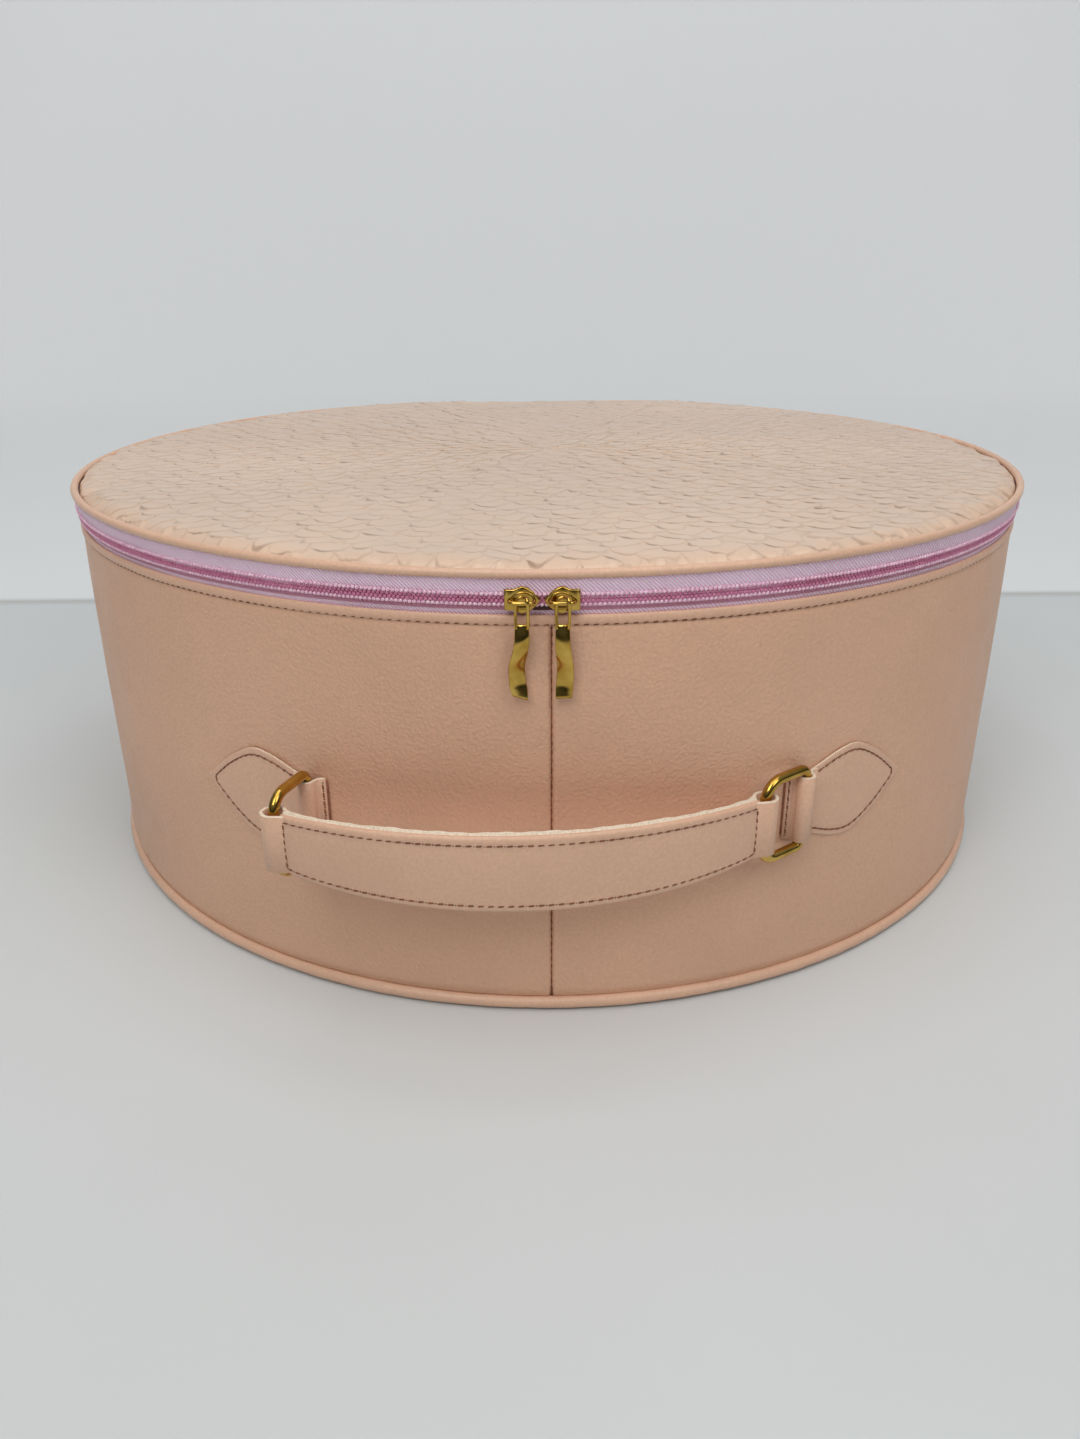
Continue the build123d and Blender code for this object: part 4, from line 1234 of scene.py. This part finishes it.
# ------------------------------------------------------------ tabs
def build_tab(side, sign):
    """Leaf sewn to the wall, with its root folded round the ring's bar."""
    bar = Vector(JOINTS["ring_" + side + "_swivel"]["pos_m"])
    bearing = math.atan2(abs(bar.x), -bar.y)
    bar_s = bearing * RADIUS
    bar_out = bar.xy.length - RADIUS
    # millimetres from the bar, and half the leaf's width there
    leaf_shape = np.array([
        (4.4, 11.8), (7.5, 12.9), (11, 14.4), (14.3, 15.6), (17.6, 16.4), (21, 16.9),
        (24.3, 16.5), (27.6, 15.1), (30.9, 13.2), (34.2, 11.0), (37.4, 8.5), (40.6, 5.7),
        (43.3, 3.4), (45.5, 1.4), (47.2, 0.25),
    ])
    at = np.linspace(leaf_shape[0, 0], leaf_shape[-1, 0], 56)
    width = resample(leaf_shape, 200)
    width = np.interp(at, width[:, 0], width[:, 1])
    share = np.concatenate([[-1.0, -0.985], np.linspace(-0.95, 0.95, 25), [0.985, 1.0]])
    aa, ff = np.meshgrid(at, share, indexing="ij")
    ww = np.interp(aa, at, width)
    edge_gap = np.minimum((1 - np.abs(ff)) * ww, np.maximum(0.0, 47.6 - aa) * 0.55)
    dome = 0.80 + 0.30 * (1 - np.exp(-edge_gap / 0.8)) + 0.22 * np.clip((edge_gap - 2.8) / 5, 0, 1)
    groove = 0.22 * np.exp(-(((edge_gap - 2.1) / 0.6) ** 2))
    top = dome - groove
    z = RING_Z + (ff * ww + TAB_TILT * (aa - 5)) * MM
    s = sign * (bar_s + aa * MM)
    upper = lay(s, top * MM, z)
    lower = lay(s, 0.12 * MM + 0 * s, z)
    rows, columns = len(at), len(share)
    vertices = np.concatenate([upper.reshape(-1, 3), lower.reshape(-1, 3)])
    top_faces = grid_faces(rows, columns)
    under = [[i + rows * columns for i in f[::-1]] for f in top_faces]
    border = list(range(columns))
    border += [r * columns + columns - 1 for r in range(1, rows)]
    border += [(rows - 1) * columns + c for c in range(columns - 2, -1, -1)]
    border += [r * columns for r in range(rows - 2, 0, -1)]
    rim = []
    for i, j in zip(border, border[1:] + border[:1]):
        rim.append([i, j, j + rows * columns, i + rows * columns])
    faces = top_faces + under + rim
    if sign > 0:
        faces = [f[::-1] for f in faces]
    leaf = add("tab_leaf_" + side, vertices, faces, STRAP_LEATHER)
    leaf.data.materials.append(CUT_EDGE)
    for polygon in list(leaf.data.polygons)[len(top_faces) + len(under):]:
        polygon.material_index = 1
    keep(leaf, "case", "strap_leatherette", "tab_" + side)
    fix_normals(leaf)

    # stitch line round the leaf, about 2 mm inside its edge
    line_a = np.linspace(6.4, 43.2, 400)
    line_w = np.interp(line_a, at, width) - 2.1 * np.interp(line_a, (7, 20, 43), (1.0, 1.05, 1.35))
    line_w = np.maximum(line_w, 0.0)
    upper_line = np.column_stack([line_a, line_w])
    loop = np.concatenate([upper_line, (upper_line * (1, -1))[::-1]])
    length = np.r_[0, np.cumsum(np.linalg.norm(np.diff(loop, axis=0), axis=1))]
    count = int(length[-1] / (STITCH_PITCH / MM * 0.93))
    spots = np.linspace(0, length[-1], count + 1)
    la = np.interp(spots, length, loop[:, 0])
    lw = np.interp(spots, length, loop[:, 1])
    s = sign * (bar_s + la * MM)
    points = lay(s, 1.06 * MM, RING_Z + (lw + TAB_TILT * (la - 5)) * MM)
    outward = facing(s, 0 * s)
    stitch_row("tab_stitches_" + side, points, outward, "case")

    # stitched line on the wall, on the front side of the ring's bar
    z = RING_Z + np.linspace(-10.5, 10.5, 8) * MM
    s = np.full(8, sign * (bar_s - 4.7 * MM))
    outward = facing(s, z)
    stitch_row("tab_front_stitches_" + side, lay(s, 1.30 * MM, z), outward, "case")
    shade = lay(s - sign * 0.8 * MM, 0.05 * MM, z)
    root = tube("tab_front_shade_" + side, shade, 0.38 * MM, SEAM_SHADE, sides=8)
    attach(root, "case")

    # fold round the bar
    ply = 1.2
    radius = 1.95 + ply / 2
    foot = 0.6 - bar_out / MM
    path = [(6.5, foot), (4.9, foot + 0.15), (3.5, foot + 0.95)]
    around = np.radians(np.linspace(-10, 190, 17))
    path += [(radius * math.cos(t), radius * math.sin(t)) for t in around]
    path += [(-3.3, foot + 0.8), (-4.3, foot + 0.15), (-5.4, foot)]
    ring, across = folded(path, ply, 1.012)
    s = sign * (bar_s + ring[..., 0] * MM)
    z = RING_Z + across * TAB_ROOT_HALF * MM
    points = lay(s, bar_out + ring[..., 1] * MM, z)
    fold = loft("tab_fold_" + side, points, STRAP_LEATHER, close_columns=True, caps=True)
    pale_edges(fold, ring, FOLD_EDGES)
    keep(fold, "case", "strap_leatherette")
    fix_normals(fold)


def fix_normals(piece):
    """Turns a closed mesh's faces outwards."""
    work = bmesh.new()
    work.from_mesh(piece.data)
    bmesh.ops.recalc_face_normals(work, faces=work.faces)
    work.to_mesh(piece.data)
    work.free()


# ------------------------------------------------------------ carried-over CAD nodes
KEPT = {
    LEATHER: ("base_skin",),
    LINING: ("wall_lining", "base_lining", "lid_lining"),
    BOARD: ("wall_board", "base_board", "lid_board"),
    FOAM: ("wall_foam", "base_foam"),
}


def paint_kept():
    for material, names in KEPT.items():
        for name in names:
            node = frame["nodes"][name]
            node.data.materials.clear()
            node.data.materials.append(material)


# ------------------------------------------------------------ stage
def build_stage():
    turn = np.linspace(0, math.pi / 2, 16)
    depth = np.concatenate([[-4.0, 0.0, 1.6], 1.6 + 0.8 * np.sin(turn[1:]), [2.4]])
    height = np.concatenate([[0.0, 0.0, 0.0], 0.8 * (1 - np.cos(turn[1:])), [4.0]])
    across = np.array([-4.0, 0.0, 4.0])
    sweep = [[(x, y, z) for y, z in zip(depth, height)] for x in across]
    floor = loft("floor", np.array(sweep), floor_material())
    world = bpy.data.worlds.new("studio")
    bpy.context.scene.world = world
    world.use_nodes = True
    background = world.node_tree.nodes["Background"]
    room = world.node_tree
    coord = room.nodes.new("ShaderNodeTexCoord")
    axes = room.nodes.new("ShaderNodeSeparateXYZ")
    shade = room.nodes.new("ShaderNodeMapRange")
    tint = room.nodes.new("ShaderNodeMix")
    tint.data_type = "RGBA"
    room.links.new(coord.outputs["Generated"], axes.inputs[0])
    room.links.new(axes.outputs["Z"], shade.inputs["Value"])
    shade.inputs["From Min"].default_value = 0.05
    shade.inputs["From Max"].default_value = 0.75
    low, high = colour_sockets(tint.inputs)
    low.default_value = ROOM_LOW
    high.default_value = ROOM_HIGH
    room.links.new(shade.outputs["Result"], tint.inputs["Factor"])
    background.inputs["Strength"].default_value = ROOM_STRENGTH
    # the empty studio looks pale, and the metal still has a dark side to mirror
    seen = room.nodes.new("ShaderNodeLightPath")
    plain = room.nodes.new("ShaderNodeMix")
    plain.data_type = "RGBA"
    room.links.new(seen.outputs["Is Camera Ray"], plain.inputs["Factor"])
    shaded, pale = colour_sockets(plain.inputs)
    pale.default_value = ROOM_SEEN
    room.links.new(colour_sockets(tint.outputs)[0], shaded)
    room.links.new(colour_sockets(plain.outputs)[0], background.inputs["Color"])
    area("overhead", (0.0, -0.35, 1.6), (0, 0.0, 0.1), 1.3, 9.5)
    area("front_left", (-0.6, -1.4, 1.5), (0, 0, 0.1), 0.9, 10.5)
    area("right_fill", (0.9, -1.2, 1.4), (0, 0, 0.1), 0.8, 6.0)


def floor_material():
    """Pale table, with the wall behind it a shade lighter."""
    shader = Shader("pale_floor", roughness=0.55)
    x, y, _ = shader.axes(shader.place())
    behind = shader.ramp(y, TABLE_EDGE_Y - 0.005, TABLE_EDGE_Y + 0.005)
    # painted shade: a darker line along the table's back edge, where the table meets the wall
    # behind it
    line = shader.ramp(shader.math("ABSOLUTE", shader.sub(y, TABLE_EDGE_Y)), 0.0, 0.010, 1.0, 0.0)
    mottled = shader.ramp(shader.noise(3.0), 0.3, 0.7, 0.0, 1.0)
    table = shader.mix(mottled, srgb(208, 211, 209), srgb(213, 216, 216))
    base = shader.mix(behind, table, srgb(234, 236, 236))
    base = shader.mix(shader.mul(line, 0.7), base, srgb(172, 174, 168))
    # painted light: the floor glows white, not at all near the case and more and more out to 2.6 m,
    # so the far floor and the sweep stay pale
    shader.set(shader.out, "Emission Color", (1.0, 1.0, 1.0, 1.0))
    square = shader.add(shader.mul(x, x), shader.mul(y, y))
    away = shader.math("SQRT", square)
    shader.set(shader.out, "Emission Strength", shader.ramp(away, 0.4, 2.6, 0.0, 0.25))
    return shader.finish(base)


def area(name, place, target, size, power):
    light = bpy.data.lights.new(name, "AREA")
    light.size = size
    light.energy = power
    lamp = bpy.data.objects.new(name, light)
    lamp.location = place
    lamp.rotation_euler = (Vector(target) - Vector(place)).to_track_quat("-Z", "Y").to_euler()
    bpy.context.scene.collection.objects.link(lamp)


def build_camera():
    """A phone's main lens, held a little above the front of the case."""
    camera = bpy.data.cameras.new("camera")
    camera.lens = CAMERA_LENS
    camera.sensor_width = 36.0
    holder = bpy.data.objects.new("camera", camera)
    holder.location = CAMERA_PLACE
    yaw, pitch, roll = (math.radians(v) for v in CAMERA_TURN)
    level = math.cos(pitch)
    forward = Vector((-math.sin(yaw) * level, math.cos(yaw) * level, -math.sin(pitch)))
    right = Vector((math.cos(yaw), math.sin(yaw), 0))
    up = right.cross(forward)
    turned_right = right * math.cos(roll) + up * math.sin(roll)
    turned_up = up * math.cos(roll) - right * math.sin(roll)
    basis = Matrix((turned_right, turned_up, -forward)).transposed()
    holder.rotation_euler = basis.to_euler()
    bpy.context.scene.collection.objects.link(holder)
    bpy.context.scene.camera = holder


bpy.context.scene.view_settings.view_transform = "Standard"
build_camera()
build_stage()
build_wall()
build_hem()
build_front_seam()
build_piping()
build_lid()
build_zip()
build_nose_gap_shade()
build_hinge()
build_bindings()
build_slider("left", 1)
build_slider("right", -1)
build_pull("left", -1.9, -0.35, -0.35)
build_pull("right", 1.0, 0.05, 0.12)
build_ring("left")
build_ring("right")
build_strap()
build_tab("left", -1)
build_tab("right", 1)
paint_kept()

bpy.context.view_layer.update()
